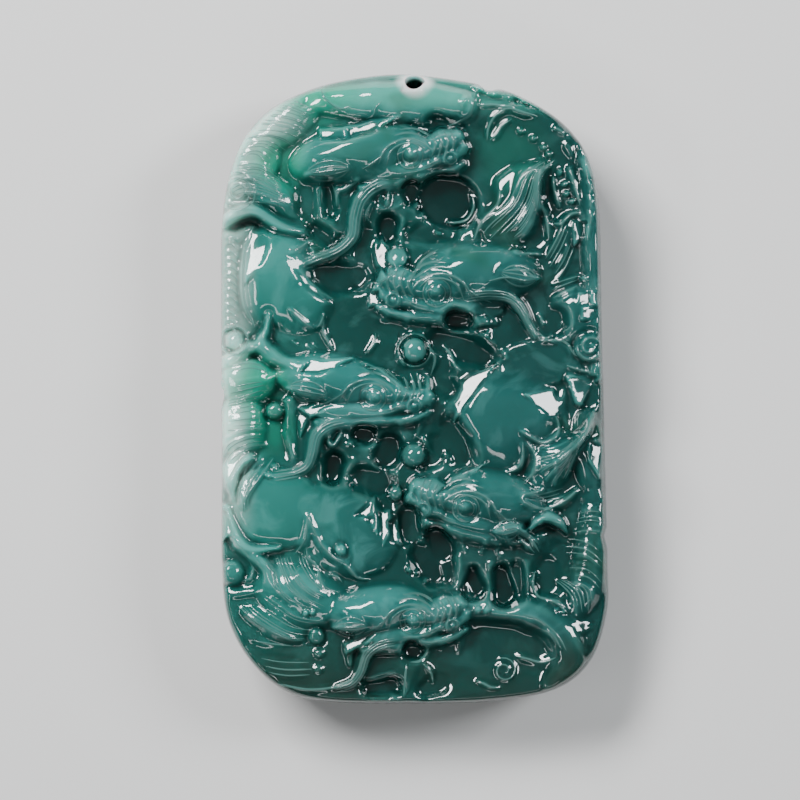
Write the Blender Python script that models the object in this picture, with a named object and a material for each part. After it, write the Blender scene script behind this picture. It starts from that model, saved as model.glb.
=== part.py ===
"""Carved jade pendant: one stone plaque with five dragon heads in high relief.

It lies on its flat back with the relief facing +Z and its top end towards +Y. The carving is
drawn in millimetres on the plaque's own plan, then scaled to the three overall sizes below.
"""
import math

import bmesh
import bpy
import numpy as np

LENGTH = 0.0763
WIDTH = 0.0470
THICKNESS = 0.0138
GIRDLE_HEIGHT = 0.0038
FRONT_ROUNDING = 0.0060
BACK_ROUNDING = 0.0026
BORE_DIAMETER = 0.0024
BORE_TO_TOP_FRONT = 0.0017
BORE_TO_TOP_BACK = 0.0049

PLAN_LENGTH = 76.3
PLAN_WIDTH = 47.0
PLAN_PEAK = 13.8
GROUND = 9.0

GRID_ACROSS = 132
GRID_ALONG = 214
BODY_TRIANGLES = 9300
BACK_STEPS = 4
FLAT_TOLERANCE = 0.00002
JADE = (0.030, 0.150, 0.125, 1.0)

RIGHT_EDGE = [(0, 38.15), (8.6, 36.9), (13.6, 35.2), (18.4, 32.0), (21.4, 27.6), (22.5, 21.5),
              (22.8, 8.0), (23.2, -8.5), (23.5, -21), (23.4, -27), (21.4, -33.0), (17.0, -36.5),
              (9.0, -37.9)]
LEFT_EDGE = [(0, -38.15), (-9.5, -38.0), (-15.2, -36.9), (-19.6, -33.4), (-22.6, -28.0),
             (-23.4, -21), (-23.4, -8.7), (-23.5, 11), (-23.3, 21), (-21.7, 28.4),
             (-18.2, 33.4), (-12.6, 36.4), (-6, 37.9)]
NOTCHES = [((9.1, 37.0), 0.6, 0.9), ((23.7, -18.0), 0.5, 0.9), ((-23.7, -0.8), 0.45, 0.9)]
SPINE_HALF = 14.0

# Each head: eye, the way it faces, its tilt in degrees and its size
HEADS = [((-0.4, 27.7), 1, 14, 0.93), ((2.8, 11.4), -1, 2, 1.05), ((-5.0, -1.1), 1, 2, 1.0),
         ((6.2, -14.2), -1, 14, 0.98), ((-0.3, -27.9), 1, 8, 0.95)]


def clear_scene():
    for thing in list(bpy.data.objects):
        bpy.data.objects.remove(thing)


def bend_through(points, steps, closed=False):
    """A rounded curve through a few chosen points."""
    p = np.array(points, dtype=float)
    if closed:
        guides = np.vstack([p[-1:], p, p[:2]])
    else:
        guides = np.vstack([2 * p[0] - p[1], p, 2 * p[-1] - p[-2]])
    t = np.linspace(0, 1, steps, endpoint=False)[:, None]
    spans = []
    for a, b, c, d in zip(guides[:-3], guides[1:-2], guides[2:-1], guides[3:]):
        turn = (2 * a - 5 * b + 4 * c - d) * t ** 2 + (3 * b - a - 3 * c + d) * t ** 3
        spans.append(0.5 * (2 * b + (c - a) * t + turn))
    return np.vstack(spans if closed else spans + [p[-1:]])


def plaque_outline(steps):
    edge = bend_through(RIGHT_EDGE + LEFT_EDGE, steps, closed=True)
    for centre, depth, width in NOTCHES:
        away = np.hypot(*(edge - centre).T)
        inward = edge / np.hypot(*edge.T)[:, None]
        edge = edge - inward * (depth * np.exp(-(away / width) ** 2))[:, None]
    return edge


def distance_to_path(x, y, path):
    """Distance of each point to a path, and how far along it the nearest place is."""
    start, run = path[:-1], np.diff(path, axis=0)
    from_x = x[:, None] - start[:, 0]
    from_y = y[:, None] - start[:, 1]
    t = (from_x * run[:, 0] + from_y * run[:, 1]) / np.maximum((run ** 2).sum(1), 1e-12)
    t = np.clip(t, 0, 1)
    gap = (from_x - t * run[:, 0]) ** 2 + (from_y - t * run[:, 1]) ** 2
    best = gap.argmin(1)
    rows = np.arange(len(x))
    return np.sqrt(gap[rows, best]), (best + t[rows, best]) / len(run)


class Relief:
    """Heights of the carved face over a cloud of plan points."""

    def __init__(self, x, y):
        self.x, self.y = x, y
        self.z = np.full(len(x), GROUND)

    def near(self, path, reach):
        low, high = path.min(0) - reach, path.max(0) + reach
        inside = (self.x > low[0]) & (self.x < high[0]) & (self.y > low[1]) & (self.y < high[1])
        here = np.flatnonzero(inside)
        away, along = distance_to_path(self.x[here], self.y[here], path)
        return here, away, along

    def raise_to(self, here, target, blend):
        z = self.z[here]
        self.z[here] = z + blend * np.logaddexp(0, np.clip((target - z) / blend, -60, 60))

    def dome(self, centre, half_sizes, crest, foot, angle=0.0):
        """A smooth swelling of the stone, oval in plan."""
        turn = math.radians(angle)
        dx, dy = self.x - centre[0], self.y - centre[1]
        u = (dx * math.cos(turn) + dy * math.sin(turn)) / half_sizes[0]
        v = (dy * math.cos(turn) - dx * math.sin(turn)) / half_sizes[1]
        here = np.flatnonzero(u * u + v * v < 1)
        rise = np.sqrt(1 - (u * u + v * v)[here])
        self.raise_to(here, foot + (crest - foot) * rise, 0.3)

    def limb(self, points, widths, crests, foot=7.0, edge=2.2, ditch=0.3):
        """A rounded form along a path, with half widths and crest heights along it."""
        path = bend_through(points, 5)
        here, away, along = self.near(path, max(widths) + 1.2)
        width = np.interp(along, np.linspace(0, 1, len(widths)), widths)
        crest = np.interp(along, np.linspace(0, 1, len(crests)), crests)
        self.z[here] -= ditch * np.exp(-((away - width - 0.25) / 0.45) ** 2)
        across = np.clip(away / width, 0, 1)
        target = foot + (crest - foot) * (1 - across ** edge) ** (1 / edge)
        target = np.where(away < width, target, foot - 50 * (away - width))
        self.raise_to(here, target, 0.25)

    def strand(self, points, widths, rise):
        """A raised line that follows the surface under it."""
        path = bend_through(points, 5)
        here, away, along = self.near(path, max(widths))
        width = np.interp(along, np.linspace(0, 1, len(widths)), widths)
        taper = np.clip(np.minimum(along, 1 - along) / 0.3, 0, 1) ** 0.6
        self.z[here] += rise * taper * np.sqrt(1 - np.clip(away / width, 0, 1) ** 2)

    def locks(self, first, last, count, rise):
        """Hair: strands side by side between two guiding curves."""
        a, b = bend_through(first, 5), bend_through(last, 5)
        s = np.linspace(0, 1, max(len(a), len(b)))
        a = np.stack([np.interp(s, np.linspace(0, 1, len(a)), a[:, k]) for k in (0, 1)], 1)
        b = np.stack([np.interp(s, np.linspace(0, 1, len(b)), b[:, k]) for k in (0, 1)], 1)
        widths = np.maximum(np.hypot(*(b - a).T) / (count - 1) * 0.55, 0.15)
        for share in np.linspace(0, 1, count):
            here, away, along = self.near(a + (b - a) * share, widths.max())
            width = np.interp(along, s, widths)
            taper = np.clip(np.minimum(along, 1 - along) / 0.3, 0, 1) ** 0.6
            self.z[here] += rise * taper * np.sqrt(1 - np.clip(away / width, 0, 1) ** 2)

    def hollow(self, points, widths, floor, wall=1.0):
        """A drilled and polished recess with a level floor."""
        path = bend_through(points, 5)
        here, away, along = self.near(path, max(widths) + wall)
        width = np.interp(along, np.linspace(0, 1, len(widths)), widths)
        q = np.clip((away - width) / wall, 0, 1)
        z = self.z[here]
        self.z[here] = np.where(z > floor, floor + (z - floor) * q * q * (3 - 2 * q), z)

    def pearl(self, centre, radius, top, ditch=0.5):
        away = np.hypot(self.x - centre[0], self.y - centre[1])
        here = np.flatnonzero(away < radius + 1.2)
        away = away[here]
        z = self.z[here] - ditch * np.exp(-((away - radius - 0.2) / 0.35) ** 2)
        ball = top - radius + np.sqrt(np.maximum(radius ** 2 - away ** 2, 0))
        self.z[here] = np.where(away < radius, np.maximum(z, ball), z)


def carve_coils(relief):
    """Smooth bodies between the heads, and the dished pools."""
    relief.limb([(-10.5, 35.2), (-4, 34.4), (2, 34.0), (6.5, 34.3)], [2.0, 3.2, 3.5, 2.6],
                [10.9, 11.4, 11.4, 11.0], foot=8, edge=2.6)
    relief.dome((-17.4, 16.6), (5.0, 6.2), 12.7, 7.5)
    relief.dome((-14.6, 11.2), (5.6, 5.6), 11.6, 7.5)
    relief.dome((11.2, -3.4), (7.4, 6.7), 13.2, 7.0)
    relief.limb([(3.4, 1.0), (8, 3.4), (12, 4.2), (16.6, 3.0)], [1.0, 1.6, 2.4, 2.6],
                [9.6, 10.2, 10.6, 11.0])
    relief.dome((-15.0, -15.0), (7.8, 5.2), 12.9, 7.5)
    relief.dome((-7.6, -17.8), (6.0, 4.4), 11.8, 7.5, -28)
    relief.limb([(4, -27.6), (9, -27.0), (13.4, -27.6), (16.8, -29.8), (18.4, -33.0)],
                [1.0, 1.8, 2.0, 2.4, 2.0], [10.6, 11.2, 11.4, 11.2, 10.8])
    relief.dome((19.6, 9.2), (3.0, 3.0), 11.6, 8)
    relief.limb([(21.2, 33), (21.4, 24), (21.8, 14), (22.2, 2)], [1.7, 1.7, 1.5, 1.5],
                [10.6, 11.0, 11.0, 11.0])
    relief.hollow([(10.3, 28.8), (12.6, 28.0)], [1.9, 2.2], 6.2, wall=2.0)
    relief.hollow([(4.6, -32.4), (9.5, -31.0), (13.8, -31.6)], [2.0, 2.1, 1.4], 5.8, wall=1.1)
    relief.hollow([(-7.6, 6.8), (-6.8, 6.0)], [1.8, 1.8], 7.4, wall=1.8)


def carve_head(relief, eye, facing, tilt, size):
    """One long-snouted dragon head, drawn around its eye with the nose towards +u."""
    c, s = math.cos(math.radians(tilt)), math.sin(math.radians(tilt))

    def put(points):
        return [(eye[0] + facing * size * (u * c - v * s), eye[1] + size * (u * s + v * c))
                for u, v in points]

    def wide(values):
        return [value * size for value in values]

    relief.limb(put([(-6, -1.0), (-2, -1.6), (2.2, -1.5)]), wide([1.4, 1.9, 1.6]),
                [10.6, 11.2, 10.8], ditch=0)
    relief.limb(put([(-12.0, 1.2), (-8.6, 1.9), (-5.0, 2.3), (-1.8, 2.4), (0.8, 1.9)]),
                wide([0.9, 2.2, 2.8, 2.5, 1.8]), [11.6, 12.8, 13.5, 13.5, 12.7], edge=2)
    relief.limb(put([(0.5, 0.6), (3.0, 0.2), (5.0, 0.5), (6.8, 0.9)]),
                wide([1.8, 1.5, 1.7, 1.3]), [11.8, 11.9, 12.4, 12.2], foot=7.5, edge=2)
    relief.limb(put([(-6.3, -2.6), (-3, -3.0), (1, -2.9), (4, -2.9), (7.0, -2.1)]),
                wide([0.7, 1.0, 1.0, 0.9, 0.7]), [10.4, 10.8, 10.9, 11.2, 11.2], foot=8)
    relief.pearl(eye, 1.6 * size, 12.6, ditch=0.3)
    relief.strand(put([(-3.6, 1.2), (-2.0, 2.5), (0.2, 2.9), (2.0, 2.0), (2.9, 0.6)]),
                  wide([0.3, 0.7, 0.8, 0.7, 0.3]), 0.8)
    for wrinkle in range(3):
        u = 2.9 + 1.4 * wrinkle
        relief.strand(put([(u + 0.5, 1.9), (u + 0.6, 0.7), (u - 0.4, -0.9)]),
                      wide([0.3, 0.6, 0.3]), 0.6)
    relief.limb(put([(5.6, -2.9), (5.5, -4.0), (5.2, -5.1)]), wide([0.6, 0.45, 0.15]),
                [11, 10.6, 9.5], foot=6, ditch=0)
    relief.limb(put([(-11.3, 1.3), (-9.6, 0.9), (-7.6, 0.1), (-6.0, -0.5)]),
                wide([0.2, 0.85, 1.1, 0.4]), [11.4, 12.2, 12.2, 11.4], foot=7.5)


def carve_manes(relief):
    """Combed hair, horns and waves, group by group down the plaque."""
    relief.limb([(-13.5, 28.5), (-16.5, 31), (-19.5, 30.5), (-21.5, 27.5)],
                [2.0, 3.0, 3.2, 2.8], [10.6, 11, 11, 10.6], ditch=0)
    relief.limb([(-14.0, 24.6), (-17.0, 23.6), (-20.5, 24.0), (-22.4, 22.4)],
                [1.6, 2.2, 2.6, 2.2], [9.8, 10.6, 11.2, 11.0], ditch=0)
    relief.hollow([(-14.6, 27.6), (-16.2, 28.0), (-17.0, 27.6)], [0.7, 0.9, 0.6], 7.4, wall=1.6)
    relief.locks([(-9.5, 32.2), (-13, 33.9), (-16, 35.2)],
                 [(-14.2, 29.0), (-17.0, 30.6), (-20.8, 31.6)], 4, 1.2)
    relief.locks([(-16.6, 27.0), (-19.0, 27.6), (-22.4, 26.6)],
                 [(-13.4, 24.2), (-17.6, 22.0), (-23.2, 24.0)], 4, 1.2)
    relief.limb([(-12.6, 18.9), (-15.2, 19.3), (-17.6, 20.4), (-19.8, 21.4), (-23.2, 20.0)],
                [0.5, 0.7, 0.8, 0.8, 0.7], [10.4, 11.6, 12.2, 12.2, 11.8], foot=7.5)
    for turn in range(6):
        y = 17.4 - 1.8 * turn
        relief.strand([(-23.2, y + 0.8), (-22.1, y), (-21.0, y - 1.3)], [0.4, 0.8, 0.4], 0.7)
    relief.pearl((-21.7, 5.8), 1.2, 11.2)

    relief.limb([(-13.4, 2.9), (-15.4, 3.4), (-17.2, 4.3), (-18.6, 5.6), (-17.9, 7.3),
                 (-17.5, 9.4)], [1.1, 1.0, 1.0, 0.9, 0.45, 0.15],
                [12.6, 12.6, 12.4, 12.4, 12.2, 11.4], ditch=0.7)
    relief.limb([(-18.4, 5.2), (-20.4, 4.3), (-21.6, 3.9), (-23.4, 3.0)], [0.8, 0.9, 0.8, 0.7],
                [12.0, 11.8, 11.4, 11])
    relief.limb([(-17.0, 0.2), (-19.5, -1.8), (-22.0, -1.2)], [2.2, 3.4, 3.4],
                [9.4, 10.8, 11.0], ditch=0)
    relief.limb([(-17.0, -3.4), (-19.5, -6.2), (-21.8, -8.6)], [2.0, 3.0, 3.0],
                [9.0, 10.8, 11.2], ditch=0)
    relief.hollow([(-16.2, -0.4), (-17.6, -0.6)], [0.6, 0.5], 6.6, wall=1.3)
    relief.locks([(-16.8, 1.4), (-19.6, 2.9), (-23.4, 2.6)],
                 [(-16.6, -2.6), (-19.5, -3.6), (-23.4, -3.6)], 4, 1.2)
    relief.locks([(-16.6, -3.4), (-19.5, -4.6), (-23.4, -4.8)],
                 [(-17.4, -7.0), (-20.2, -6.8), (-23.2, -8.6)], 3, 1.2)
    relief.locks([(-19.4, -7.6), (-21.6, -9.6), (-22.2, -13.0)],
                 [(-16.9, -8.2), (-18.9, -10.6), (-21.2, -15.6)], 3, 1.6)

    relief.limb([(-22.9, -15.2), (-21.8, -17.0), (-20.6, -18.9), (-18.6, -19.5),
                 (-16.4, -19.3)], [0.8, 1.0, 1.0, 0.8, 0.3], [11.6, 11.8, 12.2, 12.0, 11.2],
                ditch=0.6)
    relief.limb([(-21.4, -18.8), (-19.2, -20.6), (-17.6, -22.6), (-17.4, -24.6)],
                [0.8, 1.0, 1.0, 0.8], [11.2, 11.4, 11.2, 10.8])
    relief.pearl((-22.1, -22.2), 1.5, 10.8)
    relief.limb([(-8.5, -26.2), (-12.5, -26.6), (-16.5, -25.6), (-19, -24.8)],
                [2.4, 3.0, 3.2, 2.6], [11.0, 11.0, 11.0, 10.4], ditch=0)
    relief.limb([(-10.0, -30.8), (-14.5, -30.8), (-19.0, -29.2)], [2.0, 3.2, 3.6],
                [9.4, 9.8, 9.8], ditch=0)
    relief.locks([(-8.6, -24.9), (-12.2, -22.9), (-13.4, -19.3)],
                 [(-8.6, -27.4), (-14.4, -26.8), (-18.0, -21.6)], 5, 1.4)
    relief.locks([(-8.4, -28.4), (-13.4, -28.4), (-19.0, -25.2)],
                 [(-12.0, -33.4), (-15.5, -33.4), (-20.0, -30.6)], 4, 1.2)

    relief.limb([(16.6, 27.4), (14.4, 24.6), (12.6, 21.2), (10.6, 18.4)], [0.9, 2.6, 3.6, 3.2],
                [11.4, 11.6, 11.4, 10.8], ditch=0)
    relief.locks([(15.9, 27.6), (12.7, 25.9), (10.6, 22.4), (8.0, 20.2)],
                 [(16.3, 27.0), (15.3, 23.4), (14.0, 19.0), (11.4, 17.0)], 5, 1.4)
    relief.limb([(16.9, 27.6), (15.6, 26.0), (15.3, 23.2), (16.0, 20.6), (16.2, 17.6)],
                [0.5, 0.6, 0.5, 0.5, 0.4], [12.6, 12.8, 12.6, 12.2, 11.8], foot=8)
    relief.hollow([(16.4, 25.0), (16.8, 22.4), (17.0, 20.6)], [0.5, 0.7, 0.6], 6.8)
    relief.locks([(18.4, 20.8), (17.6, 18.2), (16.2, 15.6)],
                 [(19.3, 19.2), (18.8, 15.8), (16.6, 12.8)], 3, 1.6)
    relief.limb([(20.6, 20.2), (19.2, 19.6), (19.4, 17.4)], [0.9, 1.1, 0.7],
                [11.8, 12.2, 11.8], foot=7.5)
    relief.limb([(18.0, 29.9), (19.0, 26.8), (19.6, 24.4), (20.4, 21.4)], [0.5, 0.8, 0.6, 0.4],
                [11.4, 11.8, 11.6, 11.2])
    relief.limb([(7.2, 36.2), (7.4, 34.4), (6.9, 33.1), (5.6, 32.3), (4.2, 31.9)],
                [0.5, 0.6, 0.6, 0.5, 0.3], [10.8, 11.8, 12.2, 12.2, 11.8])
    relief.limb([(8.8, 29.9), (9.1, 31.8), (10.1, 33.2), (11.8, 33.8), (13.6, 33.4),
                 (15.1, 32.8)], [0.3, 0.5, 0.6, 0.7, 0.7, 0.4],
                [11.2, 11.8, 11.8, 11.6, 11.2, 10.8])
    for x, y in ((12.9, 31.2), (14.4, 30.3), (15.7, 29.3), (16.3, 28.4)):
        relief.pearl((x, y), 0.8, 11.0, ditch=0.2)

    relief.limb([(19.6, -3.4), (18.0, -7.6), (15.4, -10.4), (13.4, -11.4)],
                [2.2, 3.0, 3.0, 1.4], [10.6, 11.2, 11.2, 10.8], ditch=0)
    relief.limb([(19.0, 1.6), (19.2, -0.6), (18.9, -3.2)], [1.6, 1.7, 1.5],
                [11.0, 11.4, 11.0])
    relief.locks([(20.8, -3.2), (17.6, -6.0), (13.2, -6.6), (13.2, -8.4)],
                 [(21.4, -5.4), (19.6, -8.0), (17.8, -10.8), (17.0, -12.4)], 5, 1.4)
    relief.limb([(21.9, -6.2), (21.3, -7.6), (21.9, -10.2)], [0.5, 0.9, 0.3],
                [11.0, 11.4, 10.4])
    relief.limb([(12.5, -12.9), (13.4, -13.9), (15.8, -14.6), (18.0, -13.9), (20.2, -12.0)],
                [0.3, 0.6, 0.7, 0.7, 0.4], [12.4, 12.9, 13.0, 12.8, 12.2], foot=9)
    relief.limb([(14.2, -17.0), (15.9, -15.8), (17.2, -16.0), (18.4, -17.3)],
                [0.3, 1.0, 1.1, 0.3], [11.8, 12.4, 12.4, 11.6], foot=8)
    relief.locks([(12.2, -16.5), (14.0, -17.2), (15.8, -18.6)],
                 [(12.0, -18.0), (13.0, -18.9), (14.3, -20.2)], 3, 1.6)
    relief.limb([(21.8, -14.0), (22.8, -15.6), (21.8, -17.4)], [1.2, 2.0, 1.4],
                [10.6, 10.8, 10.6], ditch=0)
    relief.limb([(20.6, -20.0), (22.2, -20.8), (21.4, -23.4)], [1.8, 2.2, 1.8],
                [10.6, 10.8, 10.4])
    relief.limb([(18.0, -23.0), (20.0, -25.0), (20.2, -27.6)], [1.6, 2.4, 1.6],
                [10.2, 10.8, 10.2])


def carve_openings(relief):
    """Mouths and the drilled recesses around them."""
    mouths = [
        ([(3.8, 22.9), (4.8, 22.2)], [2.55, 2.55], 3.4),
        ([(-0.3, 24.0), (-0.2, 23.2)], [0.8, 0.9], 4.4),
        ([(-3.2, 19.8), (-3.2, 18.8)], [0.9, 1.0], 3.8),
        ([(-0.2, 18.2), (1.6, 18.4), (3.6, 18.6)], [0.7, 1.0, 0.5], 5.0),
        ([(-5.7, 18.4), (-6.1, 16.4), (-5.2, 14.0)], [0.7, 0.9, 0.6], 5.4),
        ([(-11.0, 14.0), (-9.6, 13.4), (-7.4, 13.6)], [0.9, 1.5, 1.0], 4.2),
        ([(-12.9, 23.6), (-12.9, 21.6)], [0.5, 0.6], 5.6),
        ([(2.6, 6.2), (4.4, 5.6), (6.6, 4.8), (8.4, 4.0)], [0.8, 1.1, 1.2, 0.7], 4.4),
        ([(5.0, 8.2), (5.9, 7.9)], [0.75, 0.7], 4.4),
        ([(9.6, 7.4), (12.0, 6.4), (13.0, 4.6)], [0.6, 1.2, 0.7], 4.4),
        ([(3.6, 3.0), (3.2, 1.4), (4.4, -0.2)], [0.7, 0.8, 0.6], 5.2),
        ([(-6.3, -5.6), (-5.9, -5.8)], [0.75, 0.8], 4.2),
        ([(-3.0, -6.8), (-3.6, -8.2)], [0.95, 1.1], 3.6),
        ([(-9.9, -9.0), (-9.9, -10.6)], [0.9, 0.7], 3.6),
        ([(-6.2, -10.8), (-4.6, -11.4)], [1.0, 1.2], 4.2),
        ([(4.4, -5.0), (5.4, -6.6), (6.0, -8.2)], [0.8, 1.2, 0.9], 5.0),
        ([(-0.6, -15.4), (-0.9, -17.4), (0.2, -18.0)], [0.8, 0.9, 0.6], 4.4),
        ([(2.6, -18.0), (3.2, -19.2)], [0.6, 1.2], 3.4),
        ([(0.6, -19.8), (1.6, -21.6), (2.2, -22.6)], [0.8, 1.1, 0.8], 3.8),
        ([(7.2, -22.2), (7.4, -24.2)], [0.35, 1.1], 3.4),
        ([(10.6, -22.6), (11.2, -24.8)], [0.8, 1.2], 3.6),
        ([(16.0, -22.4), (15.8, -24.0)], [0.9, 0.8], 4.4),
        ([(-0.2, -31.6), (0.4, -32.0)], [0.6, 0.55], 4.6),
        ([(-4.6, -36.0), (-2.6, -36.0)], [0.5, 0.6], 4.6),
    ]
    for points, widths, floor in mouths:
        relief.hollow(points, widths, floor)


def carve_throats(relief):
    """Necks, ribbons, whiskers, horns and pearls laid over the rest."""
    necks = [
        ([(-11.4, 25.0), (-11.5, 22.4), (-11.1, 20.4), (-9.4, 18.4)], [0.9, 0.8, 0.8, 0.5], 10.6),
        ([(-15.0, -1.6), (-15.2, -4.6), (-14.9, -8.2)], [0.9, 1.0, 0.8], 10.0),
        ([(-9.6, -29.8), (-9.7, -32.4), (-9.4, -34.8)], [0.8, 0.9, 0.8], 9.8),
        ([(-5.3, -29.8), (-6.4, -31.0), (-8.2, -31.6), (-8.0, -33.4)], [0.4, 1.1, 1.1, 0.6], 10.9),
        ([(9.3, -21.0), (9.3, -23.4), (9.1, -25.6)], [0.5, 0.5, 0.5], 11.0),
        ([(5.3, -19.6), (5.4, -21.2), (5.3, -23.4)], [0.5, 0.55, 0.4], 11.2),
        ([(13.5, -20.6), (13.6, -23.0), (13.4, -25.4)], [0.5, 0.45, 0.5], 11.0),
    ]
    ribbons = [
        ([(-4.6, 24.4), (-6.4, 22.9), (-7.2, 20.6), (-7.5, 18.4), (-9.0, 16.8), (-11.5, 15.8),
          (-13.4, 14.8)], [0.9, 1.2, 1.1, 0.9, 0.8, 0.8, 0.5], 11.1),
        ([(-9.8, -3.6), (-11.4, -4.9), (-12.2, -7.0), (-12.6, -9.0), (-13.9, -10.3),
          (-16.2, -10.8)], [1.0, 1.3, 1.1, 0.8, 0.7, 0.5], 11.5),
        ([(-2.6, -30.6), (-4.6, -31.4), (-6.0, -32.8), (-6.6, -34.6), (-8.0, -36.1)],
         [0.8, 1.0, 0.9, 0.7, 0.4], 10.9),
        ([(10.2, 12.2), (12.6, 10.6), (13.8, 8.6), (14.9, 6.4)], [1.0, 1.2, 0.9, 0.6], 11.8),
        ([(15.6, 5.8), (17.0, 5.9), (18.4, 5.8), (19.2, 4.9), (19.9, 3.9)],
         [0.5, 0.6, 0.6, 0.6, 0.5], 11.8),
        ([(-15.2, 16.2), (-14.3, 14.2), (-12.6, 12.2), (-10.5, 10.8)], [0.6, 0.7, 0.7, 0.4], 12.0),
        ([(-3.4, 17.9), (-4.1, 16.6), (-4.2, 15.2), (-3.6, 13.9)], [0.4, 0.5, 0.5, 0.3], 11.4),
        ([(-1.6, 5.9), (-1.75, 4.6), (-1.3, 3.4), (-0.3, 2.6)], [0.4, 0.5, 0.5, 0.3], 11.4),
        ([(1.5, 5.6), (2.3, 4.5), (2.5, 3.4), (2.0, 1.6)], [0.3, 0.45, 0.4, 0.3], 10.8),
        ([(8.4, 6.6), (9.2, 5.8), (10.2, 5.2), (11.2, 3.6)], [0.5, 0.45, 0.4, 0.3], 11.0),
        ([(14.9, -21.4), (14.4, -23.4), (15.2, -25.1), (16.8, -25.5), (18.2, -26.4)],
         [0.4, 0.45, 0.5, 0.5, 0.4], 11.3),
        ([(-0.8, -33.2), (-1.1, -35.2), (-1.3, -37.2)], [1.6, 1.0, 0.2], 10.6),
        ([(1.2, -33.4), (2.1, -34.2), (2.3, -35.8)], [0.4, 0.5, 0.3], 10.4),
    ]
    spikes = [
        ([(-16.2, 12.3), (-15.2, 10.4), (-13.6, 8.3), (-12.0, 7.1)], [0.2, 0.4, 0.5, 0.3], 12.0),
        ([(-13.0, -14.8), (-13.1, -17.2), (-13.6, -19.0), (-14.6, -19.9)],
         [0.2, 0.45, 0.6, 0.4], 12.4),
        ([(-13.0, -14.8), (-12.0, -17.3), (-10.8, -19.3), (-9.0, -20.7), (-7.2, -22.2),
          (-5.4, -23.0)], [0.2, 0.45, 0.5, 0.5, 0.45, 0.3], 12.2),
        ([(-4.2, -14.4), (-5.0, -15.9), (-5.2, -16.8)], [0.3, 0.6, 0.2], 12.0),
        ([(-3.1, -14.2), (-3.9, -15.8), (-3.7, -18.3)], [0.3, 0.7, 0.2], 12.2),
        ([(-2.0, -15.0), (-2.7, -16.6), (-2.2, -18.3), (-2.3, -19.6)], [0.3, 0.7, 0.6, 0.2], 12.0),
    ]
    for points, widths, crest in necks + ribbons + spikes:
        relief.limb(points, widths, [crest], foot=6.5)
    pearls = [((-2.0, 15.8), 1.25, 11.2), ((0.1, 4.6), 1.55, 11.6), ((-0.1, -8.2), 1.5, 11.0),
              ((21.2, 5.1), 1.9, 11.2), ((-16.9, -2.6), 1.05, 10.6), ((-2.3, -12.6), 0.95, 10.8),
              ((-11.8, -29.9), 1.0, 10.2), ((-11.5, -32.0), 0.85, 9.4), ((-11.5, -33.9), 0.85, 9.0),
              ((10.7, -34.0), 2.1, 10.2), ((-8.9, -19.4), 0.75, 11.8)]
    for centre, radius, top in pearls:
        relief.pearl(centre, radius, top)


def carved_heights(x, y):
    """Height of the carved face at each plan point, rounded over towards the girdle."""
    relief = Relief(x, y)
    carve_coils(relief)
    carve_manes(relief)
    for eye, facing, tilt, size in HEADS:
        carve_head(relief, eye, facing, tilt, size)
    carve_openings(relief)
    carve_throats(relief)

    edge = plaque_outline(6)
    away, _ = distance_to_path(x, y, np.vstack([edge, edge[:1]]))
    rounding = FRONT_ROUNDING * PLAN_LENGTH / LENGTH
    share = np.sqrt(1 - (1 - np.clip(away / rounding, 0, 1)) ** 2)
    girdle = GIRDLE_HEIGHT * PLAN_PEAK / THICKNESS
    return girdle + (relief.z - girdle) * share


def spread_over_plan(grid):
    """Move a square grid of -1 to 1 onto shrunken copies of the plaque's outline."""
    edge = plaque_outline(40)
    edge = np.vstack([edge, edge[:1]])
    length = np.concatenate([[0], np.cumsum(np.hypot(*np.diff(edge, axis=0).T))])
    corners = np.array([(20.6, 29.6), (21.2, -33.2), (-20.6, -32.2), (-20.4, 31.0)])
    marks = [length[np.hypot(*(edge - corner).T).argmin()] for corner in corners]
    marks.append(marks[0] + length[-1])

    u, v = grid[:, 0], grid[:, 1]
    shell = np.maximum(np.abs(u), np.abs(v))
    safe = np.maximum(shell, 1e-9)
    a, b = u / safe, v / safe
    side = np.select([a >= 1 - 1e-9, b <= -1 + 1e-9, a <= -1 + 1e-9], [0, 1, 2], 3)
    part = np.select([side == 0, side == 1, side == 2], [(1 - b) / 2, (1 - a) / 2, (1 + b) / 2],
                     (1 + a) / 2)
    start, end = np.array(marks)[side], np.array(marks)[side + 1]
    along = (start + (end - start) * part) % length[-1]
    rim = np.stack([np.interp(along, length, edge[:, k]) for k in (0, 1)], 1)
    return rim * shell[:, None]


def inward_from(point):
    """Unit direction in plan from a rim point to the plaque's long middle line."""
    half = SPINE_HALF * LENGTH / PLAN_LENGTH
    dx = -point.x
    dy = min(max(point.y, -half), half) - point.y
    reach = math.hypot(dx, dy)
    return dx / reach, dy / reach


def close_back(bm):
    """Round the rim under to a flat polished back."""
    edges = [edge for edge in bm.edges if edge.is_boundary]
    girdle = {vert: vert.co.copy() for edge in edges for vert in edge.verts}
    for step in range(1, BACK_STEPS + 1):
        angle = math.radians(90 * step / BACK_STEPS)
        inset = BACK_ROUNDING * (1 - math.cos(angle))
        made = bmesh.ops.extrude_edge_only(bm, edges=edges)["geom"]
        edges = [item for item in made
                 if isinstance(item, bmesh.types.BMEdge) and item.is_boundary]
        ring = {}
        for vert in {vert for edge in edges for vert in edge.verts}:
            above = [edge.other_vert(vert) for edge in vert.link_edges]
            origin = girdle[next(other for other in above if other in girdle)]
            dx, dy = inward_from(origin)
            vert.co = (origin.x + dx * inset, origin.y + dy * inset,
                       origin.z * (1 - math.sin(angle)))
            ring[vert] = origin
        girdle = ring
    bmesh.ops.contextual_create(bm, geom=edges)
    bmesh.ops.recalc_face_normals(bm, faces=bm.faces)


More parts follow.
